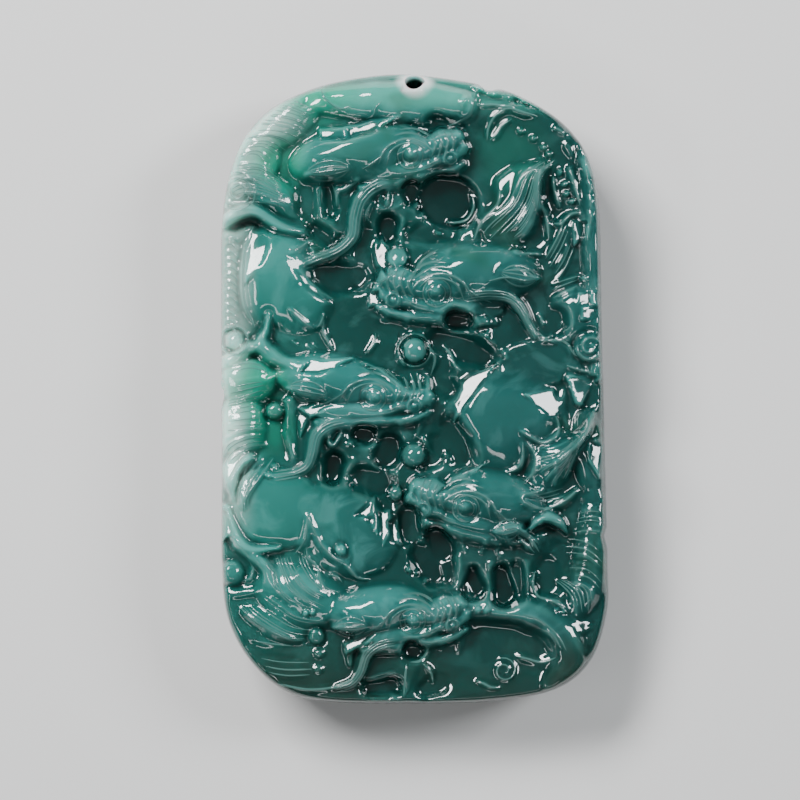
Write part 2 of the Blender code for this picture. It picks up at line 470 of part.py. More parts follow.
def carved_body():
    """The whole plaque as a fine closed body."""
    bm = bmesh.new()
    bmesh.ops.create_grid(bm, x_segments=GRID_ACROSS, y_segments=GRID_ALONG, size=1.0)
    plan = spread_over_plan(np.array([vert.co[:2] for vert in bm.verts]))
    heights = carved_heights(plan[:, 0], plan[:, 1])
    middle = (plan.min(axis=0) + plan.max(axis=0)) / 2
    span = plan.max(axis=0) - plan.min(axis=0)
    scale = (WIDTH / span[0], LENGTH / span[1], THICKNESS / heights.max())
    for vert, (x, y), z in zip(bm.verts, plan - middle, heights):
        vert.co = (x * scale[0], y * scale[1], z * scale[2])
    close_back(bm)
    bmesh.ops.triangulate(bm, faces=bm.faces)
    mesh = bpy.data.meshes.new("fine_body")
    bm.to_mesh(mesh)
    bm.free()
    return mesh


def thinned(mesh):
    """The same body with no more triangles than its forms need, its back dead flat."""
    fine = bpy.data.objects.new("fine_body", mesh)
    bpy.context.scene.collection.objects.link(fine)
    thin = fine.modifiers.new("thin", "DECIMATE")
    thin.ratio = BODY_TRIANGLES / len(mesh.polygons)
    bpy.context.view_layer.update()
    evaluated = fine.evaluated_get(bpy.context.evaluated_depsgraph_get())
    body = bpy.data.meshes.new_from_object(evaluated)
    bpy.data.objects.remove(fine)
    bpy.data.meshes.remove(mesh)
    for vert in body.vertices:
        if vert.co.z < FLAT_TOLERANCE:
            vert.co.z = 0.0
    return body


def jade_material():
    material = bpy.data.materials.new("polished_jade")
    material.use_nodes = True
    shader = material.node_tree.nodes["Principled BSDF"]
    shader.inputs["Base Color"].default_value = JADE
    shader.inputs["Roughness"].default_value = 0.08
    shader.inputs["Metallic"].default_value = 0.0
    shader.inputs["IOR"].default_value = 1.66
    return material


def cord_bore(cutters):
    """A slanted drilled hole from the front of the top rim to the back."""
    front_y = LENGTH / 2 - BORE_TO_TOP_FRONT
    back_y = LENGTH / 2 - BORE_TO_TOP_BACK
    front_z = THICKNESS * 0.62
    lean = math.atan2(front_y - back_y, front_z)
    bpy.ops.mesh.primitive_cylinder_add(
        vertices=20, radius=BORE_DIAMETER / 2, depth=THICKNESS * 3,
        location=(0, (front_y + back_y) / 2, front_z / 2), rotation=(-lean, 0, 0))
    bore = bpy.context.active_object
    bore.name = "cord_bore_cutter"
    for home in list(bore.users_collection):
        home.objects.unlink(bore)
    cutters.objects.link(bore)
    bore.hide_render = True
    bore.display_type = "WIRE"
    return bore


def build():
    clear_scene()
    parts = bpy.data.collections.new("jade_zodiac_pendant")
    cutters = bpy.data.collections.new("cutters")
    for collection in (parts, cutters):
        bpy.context.scene.collection.children.link(collection)

    mesh = thinned(carved_body())
    mesh.name = "jade_pendant"
    mesh.shade_smooth()
    mesh.set_sharp_from_angle(angle=math.radians(60))
    mesh.materials.append(jade_material())

    pendant = bpy.data.objects.new("jade_pendant", mesh)
    parts.objects.link(pendant)
    drill = pendant.modifiers.new("cord_bore", "BOOLEAN")
    drill.operation = "DIFFERENCE"
    drill.solver = "EXACT"
    drill.object = cord_bore(cutters)


build()
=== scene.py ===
import math

import bmesh
import bpy
import numpy as np
from mathutils.bvhtree import BVHTree
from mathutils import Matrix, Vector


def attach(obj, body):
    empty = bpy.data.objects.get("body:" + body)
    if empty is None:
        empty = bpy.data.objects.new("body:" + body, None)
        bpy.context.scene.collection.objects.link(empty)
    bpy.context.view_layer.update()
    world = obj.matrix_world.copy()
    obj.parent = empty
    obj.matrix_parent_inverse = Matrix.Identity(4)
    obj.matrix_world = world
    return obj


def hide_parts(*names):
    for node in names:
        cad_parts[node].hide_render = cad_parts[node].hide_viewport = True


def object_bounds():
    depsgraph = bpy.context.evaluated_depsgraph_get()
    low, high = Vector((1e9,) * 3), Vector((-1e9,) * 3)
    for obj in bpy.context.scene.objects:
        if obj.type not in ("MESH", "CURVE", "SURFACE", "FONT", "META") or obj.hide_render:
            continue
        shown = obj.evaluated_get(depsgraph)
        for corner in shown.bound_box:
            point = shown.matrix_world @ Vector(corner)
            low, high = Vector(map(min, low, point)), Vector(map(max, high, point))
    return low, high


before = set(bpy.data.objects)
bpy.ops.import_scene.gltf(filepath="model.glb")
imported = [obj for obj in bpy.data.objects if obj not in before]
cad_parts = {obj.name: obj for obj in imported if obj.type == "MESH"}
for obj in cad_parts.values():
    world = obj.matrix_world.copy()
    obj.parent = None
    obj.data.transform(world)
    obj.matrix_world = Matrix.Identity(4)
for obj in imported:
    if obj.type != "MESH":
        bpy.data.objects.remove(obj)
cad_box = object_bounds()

# The sawn blank
# A slab of blue-green jade, 47 by 76 mm, sawn to an oblong with well-rounded corners. It is kept
# here as a cloud of points in plan, in millimetres, each with the height of stone left standing.
PLAN_LENGTH = 76.3
FIELD = 9.6
GRID_ACROSS = 238
GRID_ALONG = 386
RIGHT_EDGE = [(0, 38.15), (8.6, 36.9), (13.6, 35.2), (18.4, 32.0), (21.4, 27.6), (22.5, 21.5),
              (22.8, 8.0), (23.2, -8.5), (23.5, -21), (23.4, -27), (21.4, -33.0), (17.0, -36.5),
              (9.0, -37.9)]
LEFT_EDGE = [(0, -38.15), (-9.5, -38.0), (-15.2, -36.9), (-19.6, -33.4), (-22.6, -28.0),
             (-23.4, -21), (-23.4, -8.7), (-23.5, 11), (-23.3, 21), (-21.7, 28.4),
             (-18.2, 33.4), (-12.6, 36.4), (-6, 37.9)]
NICKS = [((9.1, 37.0), 0.6, 0.9), ((23.7, -18.0), 0.5, 0.9), ((-23.7, -0.8), 0.45, 0.9)]
CORNERS = [(20.6, 29.6), (21.2, -33.2), (-20.6, -32.2), (-20.4, 31.0)]


def bend(points, steps=6, closed=False):
    """A rounded line through a few chosen points."""
    p = np.array(points, dtype=float)
    if closed:
        guides = np.vstack([p[-1:], p, p[:2]])
    else:
        guides = np.vstack([2 * p[0] - p[1], p, 2 * p[-1] - p[-2]])
    t = np.linspace(0, 1, steps, endpoint=False)[:, None]
    spans = []
    for a, b, c, d in zip(guides[:-3], guides[1:-2], guides[2:-1], guides[3:]):
        turn = (2 * a - 5 * b + 4 * c - d) * t ** 2 + (3 * b - a - 3 * c + d) * t ** 3
        spans.append(0.5 * (2 * b + (c - a) * t + turn))
    return np.vstack(spans if closed else spans + [p[-1:]])


def sawn_edge(steps):
    edge = bend(RIGHT_EDGE + LEFT_EDGE, steps, closed=True)
    for centre, depth, width in NICKS:
        away = np.hypot(*(edge - centre).T)
        inward = edge / np.hypot(*edge.T)[:, None]
        edge = edge - inward * (depth * np.exp(-(away / width) ** 2))[:, None]
    return np.vstack([edge, edge[:1]])


def blank_points(grid):
    """Lay a square grid of -1 to 1 over shrunken copies of the sawn edge."""
    edge = sawn_edge(40)
    run = np.concatenate([[0], np.cumsum(np.hypot(*np.diff(edge, axis=0).T))])
    marks = [run[np.hypot(*(edge - corner).T).argmin()] for corner in CORNERS]
    marks = np.array(marks + [marks[0] + run[-1]])
    u, v = grid[:, 0], grid[:, 1]
    shell = np.maximum(np.abs(u), np.abs(v))
    a, b = u / np.maximum(shell, 1e-9), v / np.maximum(shell, 1e-9)
    side = np.select([a >= 1 - 1e-9, b <= -1 + 1e-9, a <= -1 + 1e-9], [0, 1, 2], 3)
    part = np.choose(side, [(1 - b) / 2, (1 - a) / 2, (1 + b) / 2, (1 + a) / 2])
    along = (marks[side] + (marks[side + 1] - marks[side]) * part) % run[-1]
    rim = np.stack([np.interp(along, run, edge[:, k]) for k in (0, 1)], 1)
    return rim * shell[:, None]


slab = bmesh.new()
bmesh.ops.create_grid(slab, x_segments=GRID_ACROSS, y_segments=GRID_ALONG, size=1.0)
plan = blank_points(np.array([vert.co[:2] for vert in slab.verts]))
px, py = plan[:, 0].copy(), plan[:, 1].copy()
height = np.full(len(px), FIELD)

# The coils
# The dragons' smooth bodies, left as broad swellings of the stone between the heads. They are
# ground first and polished last, and everything else is cut into them or stands over them.


def turned(degrees):
    """The two parts of a direction."""
    return math.cos(math.radians(degrees)), math.sin(math.radians(degrees))


def pointed(share, ends, power=0.6):
    """Thin a form out towards both its ends."""
    return np.clip(np.minimum(share, 1 - share) / ends, 0, 1) ** power


def raised(level, form, fade):
    """Lay one form over another with a softly filled joint."""
    return level + fade * np.logaddexp(0, np.clip((form - level) / fade, -60, 60))


def swell(centre, halves, crest, foot, turn=0, fade=0.45):
    """A smooth oval swelling, melted into the stone round it."""
    c, s = turned(turn)
    dx, dy = px - centre[0], py - centre[1]
    u, v = (dx * c + dy * s) / halves[0], (dy * c - dx * s) / halves[1]
    q = u * u + v * v
    here = np.flatnonzero(q < 1.2)
    dome = foot + (crest - foot) * np.sqrt(np.clip(1 - q[here], 0, 1))
    height[here] = raised(height[here], dome - 40 * np.clip(q[here] - 1, 0, 1), fade)


def follow(line, reach):
    """The points within reach of a line: how far off, how far along, and on which side."""
    low, high = line.min(0) - reach, line.max(0) + reach
    inside = (px > low[0]) & (px < high[0]) & (py > low[1]) & (py < high[1])
    here = np.flatnonzero(inside)
    start, run = line[:-1], np.diff(line, axis=0)
    fx = px[here, None] - start[:, 0]
    fy = py[here, None] - start[:, 1]
    t = (fx * run[:, 0] + fy * run[:, 1]) / np.maximum((run ** 2).sum(1), 1e-12)
    t = np.clip(t, 0, 1)
    gap = (fx - t * run[:, 0]) ** 2 + (fy - t * run[:, 1]) ** 2
    best = gap.argmin(1)
    rows = np.arange(len(here))
    left = np.sign(run[best, 0] * fy[rows, best] - run[best, 1] * fx[rows, best])
    return here, np.sqrt(gap[rows, best]), (best + t[rows, best]) / len(run), left


def along_line(values, share):
    values = np.atleast_1d(values)
    return np.interp(share, np.linspace(0, 1, len(values)), values)


def limb(points, widths, crests=None, foot=8.5, ditch=0.4, fade=0.25):
    """A form along a line, by half widths and crest heights: without crests it follows the stone."""
    here, away, share, left = follow(bend(points), max(widths) * 1.5 + 1.2)
    width = along_line(widths, share)
    if crests is None:
        across = np.clip(away / np.maximum(width * 1.5, 0.45), 0, 1)
        height[here] += (0.26 + 0.6 * width) * pointed(share, 0.15, 0.5) * (1 - across ** 2) ** 1.6
        return
    level = height[here] - 0.5 * ditch * np.exp(-((away - width - 0.2) / 0.45) ** 2)
    across = np.clip(away / width, 0, 1)
    form = foot + (along_line(crests, share) - foot) * (1 - across ** 3) ** 0.6
    height[here] = raised(level, np.where(away < width, form, foot - 50 * (away - width)), fade)


limb([(-11, 34.8), (-5, 34.7), (1, 34.6), (5.8, 34.4)], [1.6, 2.5, 2.6, 1.8], [11.2, 11.8, 11.8, 11.2],
     foot=9.2, ditch=0, fade=0.5)
swell((-17, 14), (4.2, 6.6), 11.9, 9, -8)
swell((-14.4, 11), (4.8, 4.2), 11.3, 9, -30)
swell((9.9, -3.8), (6.4, 6.5), 12.1, 8.8)
swell((14.2, -2.7), (3.7, 3.9), 11.8, 8.8)
swell((15.2, 3.2), (5, 2.8), 10.3, 9.7)
swell((-16.8, -14.4), (5.8, 4.9), 11.3, 9.9, -10)
swell((-8.4, -17), (6.8, 5.2), 11, 9.7, -32)
swell((19.4, 9), (3.4, 3.6), 11.6, 9)
swell((21.2, -7.6), (2.2, 5.4), 11.4, 9, 6)
limb([(3.8, -26.6), (9, -26.4), (13.6, -27.2), (17.4, -29.4), (18.8, -32.6), (16.4, -35.6)],
     [1.2, 2, 2.2, 2.4, 2.2, 1.2], [11, 11.5, 11.6, 11.4, 11, 10.4], foot=8.8, ditch=0, fade=0.4)
limb([(21.4, 33), (21.6, 24), (21.9, 14), (22.4, 2)], [1.8, 1.7, 1.6, 1.4], [10.8, 11.2, 11.2, 11.2],
     foot=8.6, ditch=0, fade=0.4)


def rub(field, passes):
    """Smooth the stone as a worn wheel does, more with each pass."""
    sheet = field.reshape(GRID_ALONG + 1, GRID_ACROSS + 1)
    for _ in range(passes):
        wide = np.pad(sheet, 1, mode="edge")
        beside = wide[:-2, 1:-1] + wide[2:, 1:-1] + wide[1:-1, :-2] + wide[1:-1, 2:]
        sheet = sheet / 2 + beside / 8
    return sheet.ravel()


# The pools
# Level dishes sunk between the coils with a round-nosed wheel, so that the stone there is thin
# and shows dark. The longest one lies by the bottom rim.


def eased(q):
    return q * q * (3 - 2 * q)


def recess(points, widths, floor, wall):
    """A sunk place with a level floor and rounded walls."""
    here, away, share, left = follow(bend(points), max(widths) + wall)
    q = np.clip((away - along_line(widths, share)) / wall, 0, 1)
    level = height[here]
    height[here] = np.where(level > floor, floor + (level - floor) * eased(q), level)


for points, widths, floor, wall in (
        ([(9.6, 28.6), (12, 28.2), (13.4, 27.4)], [2.6, 3, 2.2], 9, 2.4),
        ([(4.6, -33.2), (7.6, -31.9), (11.6, -31.6), (13.4, -31.7)], [1.9, 2.4, 2.3, 1.6], 9, 2.4),
        ([(-7.9, 7.6), (-7, 6.2)], [1.9, 2], 9.4, 2.2), ([(-17, 28), (-15.6, 27.8)], [1.2, 1.4], 9.2, 2.6),
        ([(-18.4, -0.6), (-16.6, -1.4), (-16.4, -6.4)], [0.9, 1.2, 1], 9, 2.2),
        ([(18, -20), (16.8, -22.4)], [1, 1.2], 9, 1.8),
        ([(2.6, 31.8), (5.6, 30.9)], [0.8, 0.6], 9.2, 1.2)):
    recess(points, widths, floor, wall)

# The manes
# Combed hair swept back from each head and out over the rims. Every lock is a rounded strand
# beside its neighbour, cut with the edge of a thin wheel, some bolder than others.
fine_cuts = []


def fine(cut):
    """Put such a cut aside, to be drawn last."""
    def draw(*what, **more):
        fine_cuts.append((cut, what, more))
    return draw


@fine
def ridge(points, widths, rise, ends=0.3):
    """A thin raised line that follows the stone under it."""
    widths = np.maximum(np.array(widths) * 1.4, 0.36)
    here, away, share, left = follow(bend(points), np.max(widths))
    across = np.clip(away / along_line(widths, share), 0, 1)
    height[here] += 0.5 * rise * pointed(share, ends) * (1 - across ** 2) ** 1.5


@fine
def groove(points, width, depth):
    width = max(width, 0.34)
    here, away, share, left = follow(bend(points), width)
    height[here] -= 0.5 * depth * pointed(share, 0.2) * (1 - np.clip(away / width, 0, 1) ** 2) ** 2


@fine
def strand(line, width, rise):
    here, away, share, left = follow(line, width)
    height[here] += rise * pointed(share, 0.25) * (1 - np.clip(away / width, 0, 1) ** 2) ** 1.5


@fine
def ring(centre, radius, width, rise):
    away = np.hypot(px - centre[0], py - centre[1])
    across = np.clip(np.abs(away - radius) / max(width, 0.3), 0, 1)
    height[:] += rise * (1 - across ** 2) ** 2


@fine
def lump(centre, halves, rise, turn=0):
    c, s = turned(turn)
    dx, dy = px - centre[0], py - centre[1]
    q = ((dx * c + dy * s) / halves[0]) ** 2 + ((dy * c - dx * s) / halves[1]) ** 2
    height[:] += rise * np.clip(1 - q, 0, 1) ** 1.2


def fall_away(points, drop, reach, side=1):
    """Cut the stone down on one side of a line, so that the other side stands over it."""
    here, away, share, left = follow(bend(points), reach * 3)
    beyond = side * left * away
    step = eased(np.clip((beyond + 0.14) / 0.28, 0, 1)) * np.exp(-np.maximum(beyond, 0) / reach)
    height[here] -= drop * pointed(share, 0.18, 0.7) * step


hair = np.random.default_rng(7)


def comb(first, last, count, rise):
    """Combed hair between two guiding lines: thin crests that start and stop as they please."""
    guides = [bend(first, 8), bend(last, 8)]
    s = np.linspace(0, 1, max(map(len, guides)))
    a, b = (np.stack([np.interp(s, np.linspace(0, 1, len(guide)), guide[:, k]) for k in (0, 1)], 1)
            for guide in guides)
    for place in np.linspace(0, 1, count) + hair.uniform(-0.3, 0.3, count) / count:
        start, end = hair.uniform(0, 0.12), hair.uniform(0.82, 1.0)
        line = (a + (b - a) * place)[(s >= start) & (s <= end)]
        strand(line, hair.uniform(0.36, 0.48), rise * hair.uniform(0.45, 0.8))


def pearl(centre, radius, top, ditch=0.5):
    away = np.hypot(px - centre[0], py - centre[1])
    here = np.flatnonzero(away < radius + 1.2)
    away = away[here]
    level = height[here] - ditch * np.exp(-((away - radius - 0.15) / 0.3) ** 2)
    ball = top - 0.8 * radius * (1 - np.sqrt(np.maximum(1 - (away / radius) ** 2, 0)))
    height[here] = np.where(away < radius, np.maximum(level, ball), level)


# First dragon's mane, upper left: a fan over the corner, a valley, and a fan under it
swell((-15.6, 32.2), (5.6, 2.4), 11.6, 8.8, 36)
swell((-19.6, 27.4), (3.2, 4.6), 11.4, 8.8, -20)
swell((-17.2, 23.6), (4.8, 2), 11.4, 8.8, -32)
comb([(-11.4, 33.2), (-14, 34.6), (-16.6, 35.4)], [(-12.4, 30.8), (-15.6, 31.8), (-20.4, 32.4)], 9, 0.18)
comb([(-12.4, 30.6), (-15.4, 31.6), (-20.2, 32.2)], [(-13.6, 29.2), (-17.2, 30.6), (-21.4, 30.2)], 7, 0.2)
comb([(-14, 29), (-17.4, 30.4), (-21.4, 30)], [(-18, 26.4), (-19.6, 28), (-22.2, 27.2)], 7, 0.2)
comb([(-15.8, 25.6), (-19, 27.2), (-22.3, 26.8)], [(-15.4, 23.4), (-18.6, 25.2), (-21.8, 25.2)], 6, 0.36)
comb([(-15, 23.2), (-18.2, 24.8), (-20.6, 25.6), (-22.4, 24.8)],
     [(-13.8, 21.2), (-17.4, 22.4), (-20.4, 22.6), (-22.6, 21.8)], 8, 0.34)
for radius in (0.9, 1.6, 2.3):
    ring((-21.4, 23.9), radius, 0.26, 0.26)
limb([(-12.4, 18.9), (-15.2, 19.2), (-17.4, 20.3), (-19.4, 21.5), (-21.4, 21.2), (-23.2, 20.2)],
     [0.5, 0.8, 0.9, 0.9, 0.9, 0.8], [10.6, 11.8, 12.3, 12.3, 12.1, 11.6])
groove([(-14.6, 19.3), (-17, 20.4), (-19.4, 21.6), (-22.6, 20.7)], 0.25, 0.3)
fall_away([(-13.4, 18.6), (-16.4, 19.1), (-18.6, 20.4), (-20.2, 20.5), (-22.8, 19.3)], 1.2, 0.9)
limb([(-19.2, 19.8), (-20.4, 19.2), (-21.3, 18.4), (-22.8, 18)], [0.3, 0.5, 0.5, 0.4])
ridge([(-19.3, 19.9), (-20.3, 17.6), (-20.7, 13.6), (-20.4, 10.2), (-19.2, 7.4)], [0.3, 0.4, 0.4, 0.4, 0.3],
      0.7)
for turn in range(13):
    y = 18.6 - 0.92 * turn
    ridge([(-23, y - 0.4), (-22.2, y - 0.1), (-21.3, y - 0.9)], [0.2, 0.42, 0.2], 0.5)
pearl((-21.8, 5.9), 1.1, 11.4)
ring((-21.8, 5.9), 1.7, 0.25, 0.35)

# Third dragon's mane, left edge: a flame, then strands level to the rim, then a bold bunch
swell((-20.4, 1.4), (4, 3.2), 11.6, 8.8)
swell((-21, -4.4), (3, 4), 11.2, 8.8)
limb([(-13.4, 3), (-15.6, 3.2), (-17.4, 4.2), (-18.6, 5.4), (-17.9, 7.2), (-17.6, 9.2)],
     [0.8, 0.9, 1.2, 1, 0.45, 0.12], [12, 12, 12.4, 12.5, 12.4, 11.8], ditch=0.6)
limb([(-18.2, 5.2), (-20, 4.9), (-21, 4.1), (-23.4, 3.2)], [1, 0.9, 0.9, 0.8], [12.4, 12, 11.6, 11.2])
limb([(-16.4, 2.2), (-17.2, 1.4), (-18.2, 0.9)], [0.25, 0.35, 0.3])
comb([(-17.4, 2.2), (-19.8, 3), (-23.2, 2.4)], [(-17.6, 0.2), (-19.8, -0.6), (-23.3, -1.6)], 7, 0.24)
comb([(-17.9, -0.6), (-20.2, -1), (-23.3, -1.9)], [(-17.6, -4.6), (-20.2, -4.8), (-23.3, -5)], 8, 0.24)
comb([(-17.4, -4.9), (-20.2, -5.1), (-22.6, -6), (-23.3, -7.4)],
     [(-17, -6.8), (-19.4, -7), (-21.6, -8.2), (-23.2, -10.4)], 5, 0.5)
limb([(-19.8, -8.2), (-21.6, -9.3), (-22.2, -11.4), (-21.9, -13.2)], [0.5, 1, 0.9, 0.2],
     [11.8, 12, 11.8, 11.2], ditch=0.5)
comb([(-18.2, -7.3), (-20.2, -9.4), (-21, -12.4), (-21.2, -14.8)],
     [(-16.9, -8), (-18.6, -10.4), (-20.2, -13), (-20.4, -15.2)], 4, 0.75)

# Waves over the lower left edge
limb([(-23, -14.6), (-22.2, -16.8), (-21, -18.6), (-19.4, -19.4), (-16.4, -19.2)], [0.8, 1, 0.9, 0.7, 0.3],
     [11.6, 11.9, 12.2, 12.2, 11.6], foot=8, ditch=0.6)
limb([(-21.4, -18.8), (-19.4, -20.2), (-18, -21.6), (-17.4, -23.6), (-17, -25)], [0.8, 1, 0.9, 0.8, 0.4],
     [11.4, 11.9, 11.7, 11.4, 11], foot=8)
pearl((-22.1, -22.2), 1.5, 11)
ridge([(-20, -20.7), (-19.5, -21.8), (-19.8, -22.8), (-21, -23.3)], [0.2, 0.4, 0.4, 0.2], 0.7)
limb([(-22.4, -25), (-20.2, -24.6), (-18.6, -24.3), (-18, -23.8)], [0.4, 0.5, 0.4, 0.2])

# Fifth dragon's mane, lower left: long strands that sweep down to the skull
swell((-13.4, -25.2), (6.2, 3.6), 11.6, 8.8, -18)
swell((-17.6, -29.2), (4.8, 2.6), 10.8, 8.2, -24)
swell((-14.4, -34.2), (5.2, 1.8), 9.8, 7.6, -10)
comb([(-19, -20), (-17.3, -22), (-16.6, -24.4), (-13.2, -27.2)],
     [(-16.4, -19.6), (-15.6, -22), (-13.9, -24.6), (-9.6, -26.8)], 8, 0.28)
comb([(-16.2, -19.6), (-15.2, -21.9), (-13.2, -24.4), (-9.2, -26.4)],
     [(-13.3, -19.2), (-12.8, -21.2), (-11, -23.6), (-8.2, -24.8)], 8, 0.3)
comb([(-18.4, -24.6), (-16.4, -26), (-13.8, -27.6), (-9.4, -28.2)],
     [(-22, -25.6), (-19, -28.2), (-15.4, -30.2), (-12.8, -30.4)], 10, 0.34)
fall_away([(-21.4, -26.8), (-19.6, -28.4), (-17, -30.2), (-13.2, -30.9)], 0.9, 1, -1)
comb([(-20.6, -30.4), (-17, -31), (-12.8, -31.4)], [(-18.4, -34.2), (-15.4, -34.8), (-11.4, -34.6)], 5,
     0.12)
ridge([(-16.8, -35.6), (-13, -36.3), (-10, -36.1), (-8.2, -35.5), (-7.9, -34.8)], [0.2, 0.4, 0.5, 0.4, 0.2],
      0.6)

# Second dragon's mane, upper right: a long fan that hangs from a knot, and a panel beside it
swell((12.4, 21.8), (5.6, 4.2), 10.4, 9.6, 62)
comb([(16.3, 28.1), (14.2, 26.8), (12.8, 25.6), (11.4, 22.6), (8.2, 20), (7, 18)],
     [(16.6, 27.8), (14.8, 26), (13.9, 22.8), (12.2, 20), (9.4, 17.6)], 8, 0.55)
comb([(16.6, 27.8), (14.9, 26), (14.2, 22.8), (12.6, 20), (9.6, 17.4)],
     [(16.8, 27.6), (15.3, 25.2), (15, 21.8), (13.9, 19), (11.4, 17)], 7, 0.6)
limb([(17.1, 27.8), (15.7, 26.4), (15.2, 24.2), (15.3, 22.4), (16, 20.4), (16.3, 17.8)],
     [0.3, 0.5, 0.5, 0.4, 0.35, 0.25])
limb([(16.4, 28.4), (14.8, 27.2), (13.2, 26.2), (12.3, 24.6), (11.9, 23.6)], [0.3, 0.45, 0.45, 0.35, 0.2])
recess([(16.4, 26), (16.5, 24), (17.1, 22), (17, 21)], [0.45, 0.75, 0.8, 0.4], 9.2, 0.8)
recess([(15.3, 20.8), (15, 18.6), (13.8, 17.4)], [0.3, 0.7, 0.5], 9.2, 0.8)
limb([(16.8, 25.8), (16.9, 24.2), (17.3, 22.8), (17.8, 21.6)], [0.2, 0.28, 0.28, 0.15])
limb([(12.2, 16.9), (12.8, 16.5), (14.2, 16.4), (15.6, 16.2)], [0.4, 0.3, 0.3, 0.3])
limb([(16.7, 20.1), (17.7, 20.1), (18.7, 20.9), (20.2, 21.3)], [0.2, 0.35, 0.3, 0.2])
comb([(18.4, 20.8), (17.2, 18), (15.4, 14.8)], [(19.4, 17.6), (18.2, 14.8), (16.6, 12.6)], 6, 0.62)
comb([(20.4, 13.9), (18.6, 13.4), (16.2, 12.6)], [(20, 12.2), (18.4, 11.2), (16.4, 10)], 4, 0.55)
limb([(19.4, 20.4), (19, 19.4), (19.2, 18.4), (19.8, 17.4)], [0.6, 0.7, 0.6, 0.3])
limb([(20, 20.4), (20.7, 19.7), (20.8, 18.9), (20.4, 18.2)], [0.3, 0.35, 0.3, 0.2])
limb([(18.6, 27.2), (18.9, 26), (19.4, 24.4), (19.9, 22.9), (20.2, 21.8)], [0.3, 0.45, 0.4, 0.35, 0.2])
limb([(19.8, 28.2), (20.6, 26.8), (21.3, 25.4)], [0.3, 0.55, 0.25])
limb([(18.2, 30), (18.7, 29), (19.2, 27.8)], [0.5, 0.6, 0.25])
for x, y in ((17.6, 26.2), (18.2, 24.8), (18.4, 23.6), (19.1, 22.7)):
    lump((x, y), (0.55, 0.45), 0.9, 40)
for y in (24.4, 22.6, 20.8):
    ridge([(20.9, y + 0.9), (21.3, y), (21.2, y - 0.9)], [0.2, 0.35, 0.2], 0.5)

# Fourth dragon's locks, right edge: two tapering bunches below the great coil
swell((16.6, -9), (4.6, 2.6), 11.6, 8.8, 62)
limb([(18.9, 1.3), (19.6, 0.6), (19.8, -1.2), (20, -2)], [0.6, 1, 0.6, 0.2], [11.8, 12.2, 12, 11.6],
     foot=8.8)
limb([(18.2, 0.2), (17.9, -1.8), (18.2, -3.6), (18.7, -5)], [0.3, 0.5, 0.45, 0.2])
comb([(21.9, -1.4), (20.4, -4.6), (17.6, -6.6), (14.6, -7), (13, -6)],
     [(22.2, -2.4), (20.6, -5.4), (17.6, -8.4), (15.2, -9.6), (13.2, -11.4)], 7, 0.55)
comb([(21.9, -3.4), (20.4, -5.6), (17.8, -8.4), (15.6, -9.8), (14.2, -11.4)],
     [(21.6, -5), (20.2, -6.4), (19.2, -8.8), (18.6, -10.4), (17.6, -12.2)], 8, 0.55)
limb([(21.5, -5.1), (20.2, -5.6), (19.6, -6.8), (19.3, -7.7)], [0.25, 0.5, 0.5, 0.2])
limb([(21.9, -6.2), (21.3, -7.4), (21.6, -8.6), (21.9, -10.2)], [0.4, 0.8, 0.5, 0.15],
     [11.4, 11.8, 11.6, 11])
limb([(16.6, -7.9), (17, -9.2), (17, -10.6), (16.9, -12)], [0.15, 0.28, 0.28, 0.2])
limb([(22.3, -1.6), (21.8, -3), (21.5, -4.4)], [0.2, 0.4, 0.2])
limb([(12.9, -8.2), (12.8, -9.2), (12, -10), (10.4, -10)], [0.25, 0.35, 0.35, 0.2])
limb([(12.5, -4.8), (13.3, -5.3), (14.3, -6), (15.2, -6.6), (16.4, -6.2), (17.3, -5), (17.4, -3.4)],
     [0.2, 0.3, 0.35, 0.35, 0.35, 0.35, 0.25])
limb([(12.4, -12.7), (13.2, -13.6), (14.6, -14.3), (16.2, -14.4), (18.2, -13.5), (20, -12)],
     [0.25, 0.45, 0.5, 0.55, 0.55, 0.4])
limb([(12.6, -12.6), (14.2, -12.5), (15.8, -12.2)], [0.2, 0.35, 0.25])
comb([(13.6, -12.9), (15.6, -12.7), (18.8, -11.8)], [(14.6, -13.6), (16.6, -13.4), (19.2, -12.6)], 3, 0.3)
limb([(14, -16.9), (14.8, -16), (16.2, -15.5), (17.6, -16.2), (18.4, -17.3)], [0.3, 0.7, 0.9, 0.8, 0.2],
     [11.8, 12.3, 12.5, 12.3, 11.8], ditch=0.5)
groove([(15.4, -15.8), (16, -16.5), (17.2, -17.1)], 0.3, 0.5)
ridge([(16.8, -15), (17.8, -15.9), (18.3, -16.8)], [0.2, 0.3, 0.2], 0.4)
comb([(12, -16.5), (13.8, -17.4), (15.4, -19)], [(12.2, -17.8), (13.2, -18.6), (14, -19.9)], 3, 0.8)
limb([(15.6, -18.8), (15.2, -17.9), (15.9, -17.6)], [0.2, 0.6, 0.2])
limb([(21.9, -13.4), (21.9, -17), (21.5, -21), (20.6, -24.8), (19.6, -27.2)], [1.6, 2, 2.2, 2, 1.2],
     [10.6, 10.8, 10.8, 10.6, 10.2], foot=9, ditch=0, fade=0.45)
comb([(19.4, -14.8), (21.4, -14.3), (23.2, -14.6)], [(18.8, -17.4), (21.2, -17), (23.4, -17.4)], 6, 0.26)
comb([(17.6, -18.2), (20.8, -18.6), (23.3, -20.6)], [(18.6, -22.4), (21, -22.6), (23, -24.6)], 7, 0.28)
comb([(16.4, -22.6), (18.8, -24.6), (19.8, -27.4)], [(18.8, -23), (21.2, -24.2), (21.4, -27.6)], 6, 0.32)
limb([(21.1, -23.6), (21.6, -24.6), (21.5, -25.7)], [0.15, 0.3, 0.2])
limb([(18.8, -25.4), (19.4, -26.4), (19.7, -27.4)], [0.25, 0.45, 0.2])
limb([(19.2, -28.2), (20.4, -28.7), (21.5, -28.4)], [0.3, 0.6, 0.3])

height = rub(height, 1)

